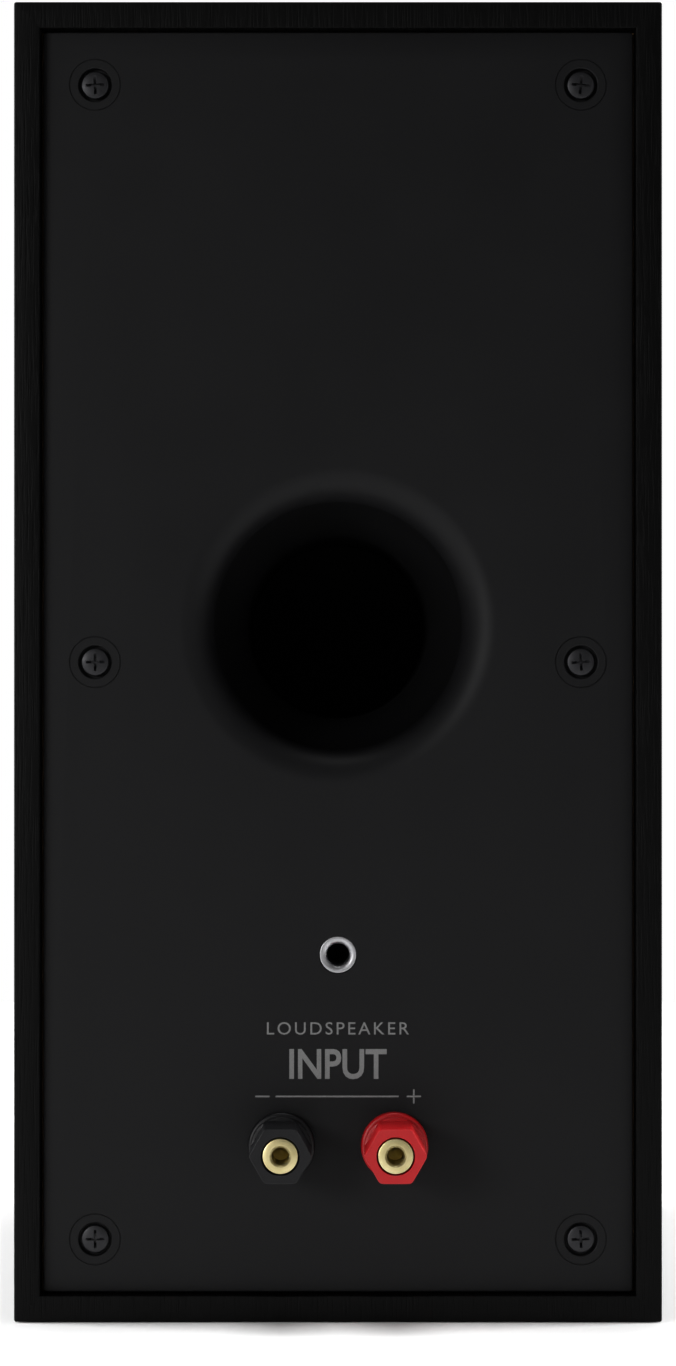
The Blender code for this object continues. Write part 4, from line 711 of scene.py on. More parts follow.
def buildRearPanel():
    face = cabinetSize["panelFace"]
    halfWidth = high("rear_panel").x
    halfHeight = (high("rear_panel").z - low("rear_panel").z) / 2
    middleOf = (0.0, cabinetSize["height"] / 2)
    thick = panel["thick"]
    bm = bmesh.new()
    slab(bm, halfWidth, halfHeight, 0.9 * mm, -thick, 0.0, panel["edgeRound"], middleOf)
    throat = panel["portMouth"] - panel["portRound"]
    socketTop = -panel["portRound"] - panel["taper"] - 2 * mm
    socketEnd = socketTop - 8 * mm
    socket = panel["portBore"] + 2.1 * mm
    portZ = cabinetSize["port"][2]
    insertZ = cabinetSize["insert"][2]

    bosses = bmesh.new()
    outer = throat + 3 * mm
    bell = [(0, -thick / 2), (outer + 4 * mm, -thick / 2), (outer + 4 * mm, -thick - 1.5 * mm)]
    bell.append((outer, -panel["portRound"]))
    bell += [p for p in taperPoints(12, 3 * mm) if p[0] > socket + 2.4 * mm]
    bell += [(socket + 2.4 * mm, socketTop), (socket + 2.4 * mm, socketEnd), (0, socketEnd)]
    turn(bosses, bell, 128, (0, portZ))
    for spot in screwSpots():
        plug(bosses, panel["bossRadius"], -panel["bossDepth"], -thick / 2, 48, spot)
    plug(bosses, panel["insertBoss"], -panel["insertDepth"], -thick / 2, 64, (0, insertZ))

    holes = bmesh.new()
    bore = [(0, 0.3 * mm), (panel["portMouth"], 0.3 * mm)]
    bore += arc((panel["portMouth"], -panel["portRound"]), (-panel["portRound"], panel["portRound"]), 90, 0, 18)
    bore += list(taperPoints(16))
    bore += [(panel["portBore"], socketTop), (socket, socketTop), (socket, socketEnd - mm), (0, socketEnd - mm)]
    turn(holes, bore, 128, (0, portZ))
    wide = panel["counterbore"]
    narrow, ring = panel["screwHole"], panel["bossRadius"]
    for spot in screwSpots():
        drill = [(0, -5.5 * mm), (narrow, -5.5 * mm), (narrow, -2.2 * mm), (wide, -2.2 * mm)]
        drill += [(wide, -0.25 * mm), (wide + 0.08 * mm, -0.08 * mm), (wide + 0.3 * mm, 0.04 * mm), (0, 0.3 * mm)]
        turn(holes, drill, 64, spot)
        groove = [(ring - 0.16 * mm, 0.1 * mm), (ring - 0.16 * mm, 0.0), (ring - 0.08 * mm, -0.22 * mm)]
        groove += [(ring + 0.08 * mm, -0.22 * mm), (ring + 0.16 * mm, 0.0), (ring + 0.16 * mm, 0.1 * mm)]
        turn(holes, groove, 64, spot)
    for side in (-1, 1):
        plug(holes, panel["postHole"], -4 * mm, mm, 64, (side * panel["postX"], panel["postZ"]))
    wide = panel["insertHole"]
    drill = [(0, -13 * mm), (wide, -13 * mm), (wide, -0.15 * mm), (wide + 0.25 * mm, 0.05 * mm), (0, 0.3 * mm)]
    turn(holes, drill, 64, (0, insertZ))
    bm = combined(bm, [("UNION", bosses), ("DIFFERENCE", holes)])
    materials = [finishes["panelAbs"], finishes["darkAbsAndPaintedShade"]]
    moulding = finished("rearPanelMoulding", bm, facingRear((0, face, 0)), materials, "cabinet", ["rear_panel"],
                        28)
    # The bell's inside takes the darker plastic. Its darkness is painted shade down the port, and the plastic is
    # only unpolished and duller.
    for polygon in moulding.data.polygons:  # the bell's unpolished inside
        away = math.hypot(polygon.center.x, polygon.center.z - portZ)
        if away < throat + 0.2 * mm and polygon.center.y < face - panel["portRound"] + 0.9 * mm:
            polygon.material_index = 1


# A plain tube whose inner end flares round, in the darker plastic: painted shade down the port.
def buildPortTube():
    start = -panel["portRound"] - panel["taper"] - 2.3 * mm
    end = rearSpan("port_tube")[0]
    bore, wall, flare = panel["portBore"], 1.8 * mm, 6 * mm
    bend = end + flare
    outline = [(bore, start)]
    outline += arc((bore + flare, bend), (-flare, -flare), 0, 90, 10)
    outline += arc((bore + flare, bend), (wall - flare, wall - flare), 90, 0, 10)
    outline.append((bore + wall, start))
    bm = bmesh.new()
    turn(bm, outline, 128)
    finished("portTubeMoulding", bm, facingRear(cabinetSize["port"]), [finishes["darkAbsAndPaintedShade"]], "cabinet",
             ["port_tube"], 40)


buildRearPanel()
buildPortTube()
print("rear panel and port done")


screws = {
    "headRadius": 3.2 * mm,
    "headThick": 1.7 * mm,
    "hole": 2.05 * mm,  # the clearance through a driver's frame
    "shankRadius": 1.75 * mm,
    "length": 15.5 * mm,
    "crossLength": 4.4 * mm,
    "crossWidth": 0.62 * mm,
    "crossDepth": 1.2 * mm,
    "rearSpread": 0.25,  # radians between the rear crosses, which all stand nearly upright
    "frontSpread": 2 * math.pi,
    "seed": 7,
}


# One screw, with its head's underside at height 0. The cross narrows towards its floor.
def screwShape():
    head, thick = screws["headRadius"], screws["headThick"]
    shank, length = screws["shankRadius"], screws["length"]
    outline = [(0, -length), (0.3 * mm, -length + 0.1 * mm), (shank * 0.8, -length + 2.6 * mm)]
    height = -length + 2.8 * mm
    while height < -1.6 * mm:  # rolled threads
        outline += [(shank * 0.82, height), (shank, height + 0.35 * mm), (shank * 0.82, height + 0.7 * mm)]
        height += 0.9 * mm
    outline += [(shank * 0.9, -mm), (shank * 0.95, 0.0), (head - 0.15 * mm, 0.0), (head, 0.15 * mm)]
    outline += [(head, thick - 0.55 * mm), (head - 0.18 * mm, thick - 0.25 * mm)]
    outline += [(head - 0.6 * mm, thick - 0.1 * mm), (head * 0.4, thick), (0, thick)]
    bm = bmesh.new()
    turn(bm, outline, 40)
    cross = bmesh.new()
    half, wide = screws["crossLength"] / 2, screws["crossWidth"] / 2
    rings = []
    for share, height in ((0.45, thick - screws["crossDepth"]), (1.0, thick), (1.05, thick + 0.5 * mm)):
        ring = []
        for quarter in range(4):
            a = math.pi / 2 * quarter
            w = wide * (0.7 + 0.3 * share)
            for x, y in ((half * share, -w), (half * share, w), (w, w)):
                ring.append((x * math.cos(a) - y * math.sin(a), x * math.sin(a) + y * math.cos(a), height))
        rings.append(ring)
    skin(cross, [[(0, 0, rings[0][0][2])]] + rings + [[(0, 0, rings[-1][0][2])]], loop=False)
    return combined(bm, [("DIFFERENCE", cross)])


# A node tree that sets a screw on each point of a mesh, each turned by its own share of a spread in radians.
def screwTree(screw):
    tree = bpy.data.node_groups.new("screwPattern", "GeometryNodeTree")
    tree.interface.new_socket("Points", in_out="INPUT", socket_type="NodeSocketGeometry")
    size = tree.interface.new_socket("Screw Size", in_out="INPUT", socket_type="NodeSocketFloat")
    seed = tree.interface.new_socket("Seed", in_out="INPUT", socket_type="NodeSocketInt")
    spread = tree.interface.new_socket("Turn Spread", in_out="INPUT", socket_type="NodeSocketFloat")
    finish = tree.interface.new_socket("Finish", in_out="INPUT", socket_type="NodeSocketMaterial")
    tree.interface.new_socket("Screws", in_out="OUTPUT", socket_type="NodeSocketGeometry")
    given = addNode(tree, "NodeGroupInput")
    source = addNode(tree, "GeometryNodeObjectInfo", {"Object": screw})
    chance = addNode(tree, "FunctionNodeRandomValue", {"data_type": "FLOAT_VECTOR", 0: (0, 0, -0.5),
                                                       1: (0, 0, 0.5)}, {"Seed": given.outputs["Seed"]})
    lean = addNode(tree, "ShaderNodeVectorMath", {"operation": "SCALE"},
                   {0: chance.outputs[0], "Scale": given.outputs["Turn Spread"]})
    placed = addNode(tree, "GeometryNodeInstanceOnPoints", None, {
        "Points": given.outputs["Points"],
        "Instance": source.outputs["Geometry"],
        "Rotation": lean.outputs[0],
        "Scale": given.outputs["Screw Size"],
    })
    real = addNode(tree, "GeometryNodeRealizeInstances", None, {"Geometry": placed.outputs[0]})
    painted = addNode(tree, "GeometryNodeSetMaterial", None,
                      {"Geometry": real.outputs[0], "Material": given.outputs["Finish"]})
    addNode(tree, "NodeGroupOutput", None, {0: painted.outputs[0]})
    return tree, {"size": size.identifier, "seed": seed.identifier, "spread": spread.identifier,
                  "finish": finish.identifier}


# Runs a tree on some points and returns the plain mesh it makes.
def grownMesh(tree, points, settings):
    mesh = bpy.data.meshes.new("spots")
    mesh.from_pydata([tuple(p) for p in points], [], [])
    holder = bpy.data.objects.new("spots", mesh)
    bpy.context.scene.collection.objects.link(holder)
    modifier = holder.modifiers.new("grow", "NODES")
    modifier.node_group = tree
    for identifier, value in settings.items():
        modifier[identifier] = value
    made = bpy.data.meshes.new_from_object(holder.evaluated_get(bpy.context.evaluated_depsgraph_get()))
    bpy.data.objects.remove(holder)
    return made


def buildScrews():
    pattern = looseObject("screwPatternPiece", screwShape())
    tree, sockets = screwTree(pattern)
    sets = [("rearScrews", "rear_screw", 6, 1), ("wooferScrews", "woofer_screw", 4, 2),
            ("tweeterScrews", "tweeter_screw", 4, 3)]
    for name, prefix, count, seed in sets:
        nodes = [f"{prefix}_{k}" for k in range(1, count + 1)]
        rear = prefix == "rear_screw"
        anchor = cabinetSize["panelFace" if rear else "frontFace"]
        points = []
        for node in nodes:
            spot = middle(node)
            depth = (rearSpan(node) if rear else frontSpan(node))[1]
            points.append((-spot.x if rear else spot.x, spot.z, depth - screws["headThick"]))
        settings = {sockets["size"]: 1.0, sockets["seed"]: screws["seed"] + seed,
                    sockets["spread"]: screws["rearSpread" if rear else "frontSpread"],
                    sockets["finish"]: finishes["screwSteel"]}
        mesh = grownMesh(tree, points, settings)
        mesh.transform((facingRear if rear else facingFront)((0, anchor, 0)))
        asPiece(name, mesh, [finishes["screwSteel"]], "cabinet", nodes, 30)
    bpy.data.objects.remove(pattern)


buildScrews()
print("screws done")


# Heights are over the floor.
printing = {
    "captionHeight": 67.7 * mm,
    "captionSize": 2.9 * mm,
    "captionWidth": 33.0 * mm,
    "titleHeight": 59.4 * mm,
    "titleSize": 7.0 * mm,
    "titleWidth": 22.6 * mm,
    "lineHeight": 51.9 * mm,
    "stroke": 0.36 * mm,
    "lift": 0.002 * mm,
    "film": 0.025 * mm,
}


# Lettering as a thin film of ink, scaled to a cap height and a width.
def addLettering(name, words, capHeight, width, height, heavy):
    data = bpy.data.curves.new(name, "FONT")
    data.body = words
    data.size = 1.0
    data.align_x = "CENTER"
    data.offset = 0.018 if heavy else 0.0
    data.space_character = 1.0 if heavy else 1.25
    data.resolution_u = 4
    letters = bpy.data.objects.new(name, data)
    bpy.context.scene.collection.objects.link(letters)
    mesh = bpy.data.meshes.new_from_object(letters.evaluated_get(bpy.context.evaluated_depsgraph_get()))
    bpy.data.objects.remove(letters)
    bm = bmesh.new()
    bm.from_mesh(mesh)
    bpy.data.meshes.remove(mesh)
    xs = [v.co.x for v in bm.verts]
    ys = [v.co.y for v in bm.verts]
    scale = Matrix.Diagonal((width / (max(xs) - min(xs)), capHeight / (max(ys) - min(ys)), 1.0, 1.0))
    centre = Matrix.Translation((-(max(xs) + min(xs)) / 2, -(max(ys) + min(ys)) / 2, 0))
    bm.transform(Matrix.Translation((0, height, printing["lift"])) @ scale @ centre)
    solid = bmesh.ops.extrude_face_region(bm, geom=bm.faces[:])["geom"]
    raised = [g for g in solid if isinstance(g, bmesh.types.BMVert)]
    bmesh.ops.translate(bm, verts=raised, vec=(0, 0, printing["film"]))
    face = (0, cabinetSize["panelFace"], 0)
    finished(name, bm, facingRear(face), [finishes["ink"]], "cabinet", [], 30, 1e-7)


def buildPrinting():
    addLettering("captionPrint", "LOUDSPEAKER", printing["captionSize"], printing["captionWidth"],
                 printing["captionHeight"], False)
    addLettering("inputPrint", "INPUT", printing["titleSize"], printing["titleWidth"], printing["titleHeight"],
                 True)
    bm = bmesh.new()
    wide, lift, film = printing["stroke"] / 2, printing["lift"], printing["film"]
    z = printing["lineHeight"]
    # The long line, the minus sign, and the plus sign in three strokes.
    for x, halfLong in ((-0.2, 14.3), (-17.55, 1.65), (17.6, 1.65)):
        slab(bm, halfLong * mm, wide, wide * 0.5, lift, film, 0.0, (x * mm, z), 2)
    for rise in (-1, 1):
        slab(bm, wide, 0.72 * mm, wide * 0.5, lift, film, 0.0, (17.6 * mm, z + rise * (wide + 0.76 * mm)), 2)
    face = (0, cabinetSize["panelFace"], 0)
    finished("polarityPrint", bm, facingRear(face), [finishes["ink"]], "cabinet", [], 30, 1e-7)


buildPrinting()
print("printing done")


# Rings of a wall with a screw thread in it. A plus depth is a thread outside, a minus one inside.
def threadedRings(radius, depth, pitch, start, end, steps=64):
    direction = 1 if end > start else -1
    count = round(abs(end - start) / pitch * 8)
    rings = []
    for level in range(count + 1):
        height = start + direction * pitch * level / 8
        fade = min(1.0, level / 6, (count - level) / 6)
        ring = []
        for k in range(steps):
            turns = height / pitch - k / steps
            wave = abs(2 * (turns - math.floor(turns)) - 1)
            r = radius - depth * fade * (1 - wave)
            a = 2 * math.pi * k / steps
            ring.append((r * math.cos(a), r * math.sin(a), height))
        rings.append(ring)
    return rings


def ringAt(radius, height, steps=64):
    angles = [2 * math.pi * k / steps for k in range(steps)]
    return [(radius * math.cos(a), radius * math.sin(a), height) for a in angles]


insert = {
    "radius": 4.25 * mm,
    "bore": 2.6 * mm,
    "mouth": 3.75 * mm,
    "length": 12.0 * mm,
    "pitch": 1.27 * mm,  # twenty threads to the inch
    "sink": 0.1 * mm,
}


# A ring with a rounded lip at its mouth and a thread down its bore.
def buildInsert():
    top = -insert["sink"]
    bottom = -insert["length"]
    radius, bore, mouth = insert["radius"], insert["bore"], insert["mouth"]
    outer = [(bore + 0.3 * mm, bottom), (radius, bottom, 0.2 * mm), (radius, top, 0.15 * mm), (mouth, top)]
    bell = arc((mouth, top - mm), (bore - mouth, mm), 84, 0, 9)
    rings = [ringAt(*p) for p in softened(outer, 3, False) + bell]
    rings += threadedRings(bore, -0.28 * mm, insert["pitch"], top - 1.2 * mm, bottom + 0.3 * mm)
    bm = bmesh.new()
    skin(bm, rings)
    finished("bracketInsert", bm, facingRear(cabinetSize["insert"]), [finishes["nickel"]], "cabinet",
             ["threaded_insert"], 40, 1e-6)


post = {
    "collarRadius": 7.8 * mm,
    "collarTop": 3.0 * mm,
    "collarNeck": 5.0 * mm,
    "washerRadius": 6.5 * mm,
    "bore": 2.8 * mm,
    "capBottom": 4.6 * mm,
    "capTop": 21.4 * mm,
    "capFlats": 12.5 * mm,
    "capCorners": 7.2 * mm,
    "capBore": 4.35 * mm,
    "flangeRadius": 7.05 * mm,
    "flangeTop": 5.8 * mm,
    "studRadius": 4.0 * mm,
    "studTop": 21.2 * mm,
    "shank": 2.5 * mm,
    "threadPitch": 1.0 * mm,
    "socket": 2.0 * mm,
    "socketDepth": 10.0 * mm,
    "wireHole": 1.7 * mm,
    "nutFlats": 8.0 * mm,
}


# A ring in the shape of a nut with flats above and below, its corners slightly rounded, and no wider than
# a limit or narrower than a least radius.
def hexRing(flats, height, limit, least=0.0):
    ring = []
    steps, sharp = 120, 26
    for k in range(steps):
        a = 2 * math.pi * k / steps
        pull = sum(max(0.0, math.cos(a - math.radians(30 + 60 * n))) ** sharp for n in range(6))
        r = max(min(flats / 2 / pull ** (1 / sharp), limit), least)
        ring.append((r * math.cos(a), r * math.sin(a), height))
    return ring


def buildCollar(color, spot):
    top, bore, neck, radius = post["collarTop"], post["bore"], post["collarNeck"], post["collarRadius"]
    outline = [(bore, -1.7 * mm, 0.2 * mm), (neck, -1.7 * mm, 0.3 * mm), (neck, 0.3 * mm)]
    outline += [(radius, 0.3 * mm, 0.25 * mm), (radius, top, 0.8 * mm)]
    outline += [(bore + 0.3 * mm, top, 0.1 * mm), (bore, top - 0.3 * mm)]
    bm = bmesh.new()
    turn(bm, softened(outline, 5), 96)
    finished(f"{color}PostCollar", bm, spot, [finishes[f"{color}Nylon"]], "cabinet", [f"{color}_post_collar"],
             40)


def buildWasher(color, spot):
    bottom, top = post["collarTop"] + 0.3 * mm, post["capBottom"] - 0.3 * mm
    inner, outer = post["studRadius"] + 0.3 * mm, post["washerRadius"]
    outline = [(inner, bottom, 0.1 * mm), (outer, bottom, 0.2 * mm), (outer, top, 0.2 * mm), (inner, top, 0.1 * mm)]
    bm = bmesh.new()
    turn(bm, softened(outline, 3), 72)
    finished(f"{color}PostWasher", bm, spot, [finishes["gold"]], f"{color}_washer", [f"{color}_post_washer"],
             40)


def buildCap(color, spot):
    bottom, top, flats = post["capBottom"], post["capTop"], post["capFlats"]
    flange, flangeTop, bore = post["flangeRadius"], post["flangeTop"], post["capBore"]
    corners = post["capCorners"]
    rings = [ringAt(bore + 0.35 * mm, bottom, 120), ringAt(flange - 0.25 * mm, bottom, 120)]
    # How far each ring draws in its flats, its height, how far it draws in its corners, and its least radius.
    levels = [(0.1, bottom + 0.1 * mm, 0.15, flange - 0.07 * mm), (0.0, bottom + 0.3 * mm, 0.05, flange)]
    levels += [(0.0, flangeTop - 0.25 * mm, 0.0, flange), (0.0, flangeTop - 0.06 * mm, 0.0, flange - 0.12 * mm)]
    levels += [(0.0, flangeTop, 0.0, flange - 0.35 * mm), (0.0, flangeTop + 0.05 * mm, 0.0, 0.0)]
    levels += [(0.0, flangeTop + 0.3 * mm, 0.0, 0.0), (0.0, top - 0.28 * mm, 0.0, 0.0)]
    levels += [(0.08, top - 0.09 * mm, 0.06, 0.0), (0.34, top, 0.2, 0.0)]
    rings += [hexRing(flats - less * mm, height, corners - cut * mm, least) for less, height, cut, least in levels]
    rings += [ringAt(bore + 0.12 * mm, top, 120), ringAt(bore, top - 0.12 * mm, 120)]
    rings += threadedRings(bore + 0.3 * mm, 0.25 * mm, post["threadPitch"], top - 2.5 * mm, bottom + 0.6 * mm, 120)
    bm = bmesh.new()
    skin(bm, rings)
    finished(f"{color}PostCap", bm, spot, [finishes[f"{color}Nylon"]], f"{color}_cap", [f"{color}_post_cap"],
             30)


def buildStud(color, spot):
    end = rearSpan(f"{color}_post_stud")[0]
    top, radius, socket = post["studTop"], post["studRadius"], post["socket"]
    floor = top - post["socketDepth"]
    shoulder = post["collarTop"] + 0.3 * mm
    outline = [(post["shank"] - 0.3 * mm, end), (post["shank"], end + 0.3 * mm), (post["shank"], shoulder)]
    outline += [(radius - 0.3 * mm, shoulder), (radius - 0.02 * mm, shoulder + 0.3 * mm)]
    rings = [[(0, 0, end)]] + [ringAt(*p) for p in outline]
    rings += threadedRings(radius, 0.32 * mm, post["threadPitch"], shoulder + 0.5 * mm, top - 1.6 * mm)
    rim = [(radius, top - 1.4 * mm), (radius, top - 0.2 * mm), (radius - 0.06 * mm, top - 0.06 * mm)]
    rim += [(radius - 0.2 * mm, top), (socket + 0.5 * mm, top), (socket + 0.42 * mm, top - 0.06 * mm)]
    rim += [(socket, top - 0.55 * mm), (socket, floor), (0.1 * mm, floor - 1.15 * mm)]
    rings += [ringAt(*p) for p in rim] + [[(0, 0, floor - 1.2 * mm)]]
    bm = bmesh.new()
    skin(bm, rings, loop=False)
    hole = bmesh.new()
    plug(hole, post["wireHole"], -6 * mm, 6 * mm, 40)
    hole.transform(Matrix.Rotation(math.pi / 2, 4, "Y"))
    hole.transform(Matrix.Translation((0, 0, post["capBottom"] + post["wireHole"])))
    bm = combined(bm, [("DIFFERENCE", hole)])
    finished(f"{color}PostStud", bm, spot, [finishes["gold"]], "cabinet", [f"{color}_post_stud"], 32,
             1e-6)


def buildNut(color, spot):
    node = f"{color}_post_nut"
    bottom, top = rearSpan(node)
    flats, bore = post["nutFlats"], post["bore"]
    rings = [ringAt(bore + 0.3 * mm, bottom, 120), hexRing(flats - 0.6 * mm, bottom, 4.2 * mm)]
    rings += [hexRing(flats, bottom + 0.5 * mm, 4.6 * mm), hexRing(flats, top - 0.5 * mm, 4.6 * mm)]
    rings += [hexRing(flats - 0.6 * mm, top, 4.2 * mm), ringAt(bore + 0.3 * mm, top, 120)]
    rings += [ringAt(bore, top - 0.3 * mm, 120), ringAt(bore, bottom + 0.3 * mm, 120)]
    bm = bmesh.new()
    skin(bm, rings)
    finished(f"{color}PostNut", bm, spot, [finishes["nickel"]], "cabinet", [node], 30)


def buildPosts():
    for color in ("black", "red"):
        centre = middle(f"{color}_post_stud")
        spot = facingRear((centre.x, cabinetSize["panelFace"], centre.z))
        buildCollar(color, spot)
        buildWasher(color, spot)
        buildCap(color, spot)
        buildStud(color, spot)
        buildNut(color, spot)


buildInsert()
buildPosts()
print("insert and posts done")


baffle = {
    "thick": 18.0 * mm,
    "edgeRound": 2.0 * mm,
    "wooferRecess": 59.6 * mm,
    "wooferHole": 51.0 * mm,
    "tweeterRecess": 48.6 * mm,
    "tweeterHole": 40.7 * mm,
    "recessDepth": 4.0 * mm,
    "pegHole": 3.3 * mm,
    "pegDepth": 9.5 * mm,
    "pegInset": 6.0 * mm,
    "screwDepth": 16.2 * mm,
}


def pegSpots():
    inset = baffle["pegInset"]
    bottom, top = low("grille_frame").z + inset, high("grille_frame").z - inset
    return [(side * (high("grille_frame").x - inset), z) for side in (-1, 1) for z in (bottom, top)]


# Where a driver's four screws stand, by height over a centre.
def screwCircle(prefix, centre):
    spots = [middle(f"{prefix}_screw_{k}") for k in range(1, 5)]
    return [(spot.x, spot.z - centre) for spot in spots]


# The holes for a driver's screws, for cutting from its frame.
def screwDrills(prefix):
    drills = bmesh.new()
    for spot in screwCircle(prefix, cabinetSize[prefix][2]):
        plug(drills, screws["hole"], -5 * mm, mm, 32, spot)
    return drills


def buildBaffle():
    halfWidth, height = cabinetSize["halfWidth"], cabinetSize["height"]
    thick, edge = baffle["thick"], baffle["edgeRound"]
    levels = [(0.0, -thick), (0.0, -edge)]
    levels += [(edge * (1 - math.cos(a)), -edge * (1 - math.sin(a)))
               for a in (math.pi / 12 * k for k in range(1, 7))]
    rings = []
    for inset, z in levels:
        loop = roundedLoop(halfWidth - inset, height / 2 - inset, 0.4 * mm + inset * 0.5, (0, height / 2))
        rings.append([(x, y, z) for x, y in loop])
    bm = bmesh.new()
    skin(bm, rings, loop=False)
    closedEnds(bm, rings)
    holes = bmesh.new()
    depth = -baffle["recessDepth"]
    past = thick + mm
    for spot, recess, hole in ((cabinetSize["woofer"], "wooferRecess", "wooferHole"),
                               (cabinetSize["tweeter"], "tweeterRecess", "tweeterHole")):
        wide = baffle[recess]
        outline = [(0, -past), (baffle[hole], -past), (baffle[hole], depth), (wide, depth)]
        outline += [(wide, -0.25 * mm), (wide + 0.25 * mm, 0.02 * mm), (wide + 0.3 * mm, mm), (0, mm)]
        turn(holes, outline, 144, (0, spot[2]))
    wide = baffle["pegHole"]
    for spot in pegSpots():
        outline = [(0, -baffle["pegDepth"]), (wide, -baffle["pegDepth"]), (wide, -0.3 * mm)]
        turn(holes, outline + [(wide + 0.35 * mm, 0.05 * mm), (wide + 0.4 * mm, mm), (0, mm)], 48, spot)
    drills = bmesh.new()
    for prefix in ("woofer", "tweeter"):
        for spot in screwCircle(prefix, 0):
            plug(drills, screws["hole"], -baffle["screwDepth"], depth + mm, 24, spot)
    bm = combined(bm, [("DIFFERENCE", holes), ("DIFFERENCE", drills)])
    finished("frontBaffle", bm, facingFront((0, cabinetSize["frontFace"], 0)), [finishes["lacquer"]], "cabinet",
             ["front_baffle"], 25)


buildBaffle()
print("baffle done")


woofer = {
    "radius": 59.0 * mm,
    "rollCentre": 44.2 * mm,
    "rollRadius": 4.0 * mm,
    "rubber": 0.8 * mm,
    "surroundBase": -2.2 * mm,
    "coneTop": -2.5 * mm,
    "coneDepth": 19.0 * mm,
    "coneThick": 0.9 * mm,
    "coneCurve": 1.3,
    "coneLip": 37.2 * mm,
    "neck": 13.6 * mm,
    "dustCap": 17.0 * mm,
    "dustRise": 6.5 * mm,
    "former": 12.7 * mm,
    "windings": 36,
    "windows": 6,
}


# The basket's section in millimetres: each corner's radius, height and rounding, from the rim round the back.
def wooferFrameShape():
    rim = woofer["radius"] / mm
    outline = [(rim, -0.5, 0.35), (rim, -3.7, 0.3), (50.2, -3.7, 0.5), (43.2, -24.0, 1.5), (43.2, -34.0, 0.6)]
    outline += [(20.0, -34.0, 0.4), (20.0, -31.5, 0.4), (34.5, -31.5, 0.8), (34.5, -26.0, 0.5), (40.5, -26.0, 0.5)]
    outline += [(47.7, -4.5, 1.0), (47.7, -2.5, 0.3), (51.0, -2.5, 0.3), (51.0, -0.5, 0.5), (56.9, -0.5, 0.3)]
    outline += [(57.3, -0.75, 0.3), (57.7, -0.5, 0.3)]
    bm = bmesh.new()
    turn(bm, softened([(r * mm, z * mm, ease * mm) for r, z, ease in outline], 4), 144)
    block = bmesh.new()
    slab(block, 6 * mm, 4.25 * mm, 0.8 * mm, -33.5 * mm, -27.0 * mm, 0.4 * mm, (0, -45.45 * mm))
    windows = bmesh.new()
    for k in range(woofer["windows"]):
        hole = bmesh.new()
        slab(hole, 13.5 * mm, 6.5 * mm, 2.5 * mm, 34.5 * mm, 59 * mm)
        aside = Matrix.Rotation(math.radians(30 + 60 * k), 4, "Z") @ Matrix.Translation((0, 0, -15.5 * mm))
        hole.transform(aside @ Matrix.Rotation(math.pi / 2, 4, "Z") @ Matrix.Rotation(math.pi / 2, 4, "X"))
        bmesh.ops.recalc_face_normals(hole, faces=hole.faces)
        shape = bpy.data.meshes.new("window")
        hole.to_mesh(shape)
        hole.free()
        windows.from_mesh(shape)
        bpy.data.meshes.remove(shape)
    return combined(bm, [("UNION", block), ("DIFFERENCE", windows), ("DIFFERENCE", screwDrills("woofer"))])


# A half-roll of an elastic sheet round a driver, from a flat outer rim over the roll to a flat inner lip.
def rollOutline(centre, roll, thick, base, outerEdge, innerEdge, steps=14):
    middleLine = base + thick / 2
    outer, inner = roll + thick / 2, roll - thick / 2
    start = math.degrees(math.asin(thick / 2 / outer))
    outline = [(centre + inner, base), (outerEdge, base, thick * 0.4), (outerEdge, base + thick, thick * 0.4)]
    outline += arc((centre, middleLine), (outer, outer), start, 180 - start, steps)
    outline += [(innerEdge, base + thick, thick * 0.4), (innerEdge, base, thick * 0.4), (centre - inner, base)]
    return softened(outline + arc((centre, middleLine), (inner, inner), 180, 0, steps), 2)


# Lets a ring bend between its outer rim, which stays, and its inner lip, which moves with a driver.
def bendRadially(piece, moving, centre, outer, inner):
    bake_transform(piece, "cabinet", moving, start=tuple(centre), end=(centre[0], centre[1] + 1, centre[2]))
    weights = piece.data.attributes["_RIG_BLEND"].data
    for vertex, weight in zip(piece.data.vertices, weights):
        radius = math.hypot(vertex.co.x - centre[0], vertex.co.z - centre[2])
        t = min(1.0, max(0.0, (outer - radius) / (outer - inner)))
        weight.value = t * t * (3 - 2 * t)


# A ring made for bendRadially, which needs a piece that rides on nothing yet.
def bendingPiece(name, bm, place, material, node, moving, centre, outer, inner):
    piece = finished(name, bm, place, [finishes[material]], None, [node], 50, 1e-6)
    bendRadially(piece, moving, centre, outer, inner)


# Height of the cone's front at a radius.
def coneHeight(radius):
    along = min(1.0, (radius - woofer["neck"]) / (woofer["coneLip"] - woofer["neck"]))
    return woofer["coneTop"] - woofer["coneDepth"] * (1 - along) ** woofer["coneCurve"]


# A thin dome's section, from its rim over the crown and back.
def domeOutline(radius, rise, thick, base):
    steps = 16
    shares = [math.sin(math.pi / 2 * step / steps) for step in range(steps + 1)]
    inside = [((radius - thick) * s, base + (rise - thick) * (1 - s * s)) for s in shares]
    return inside + [(radius * s, base + rise * (1 - s * s)) for s in reversed(shares)]


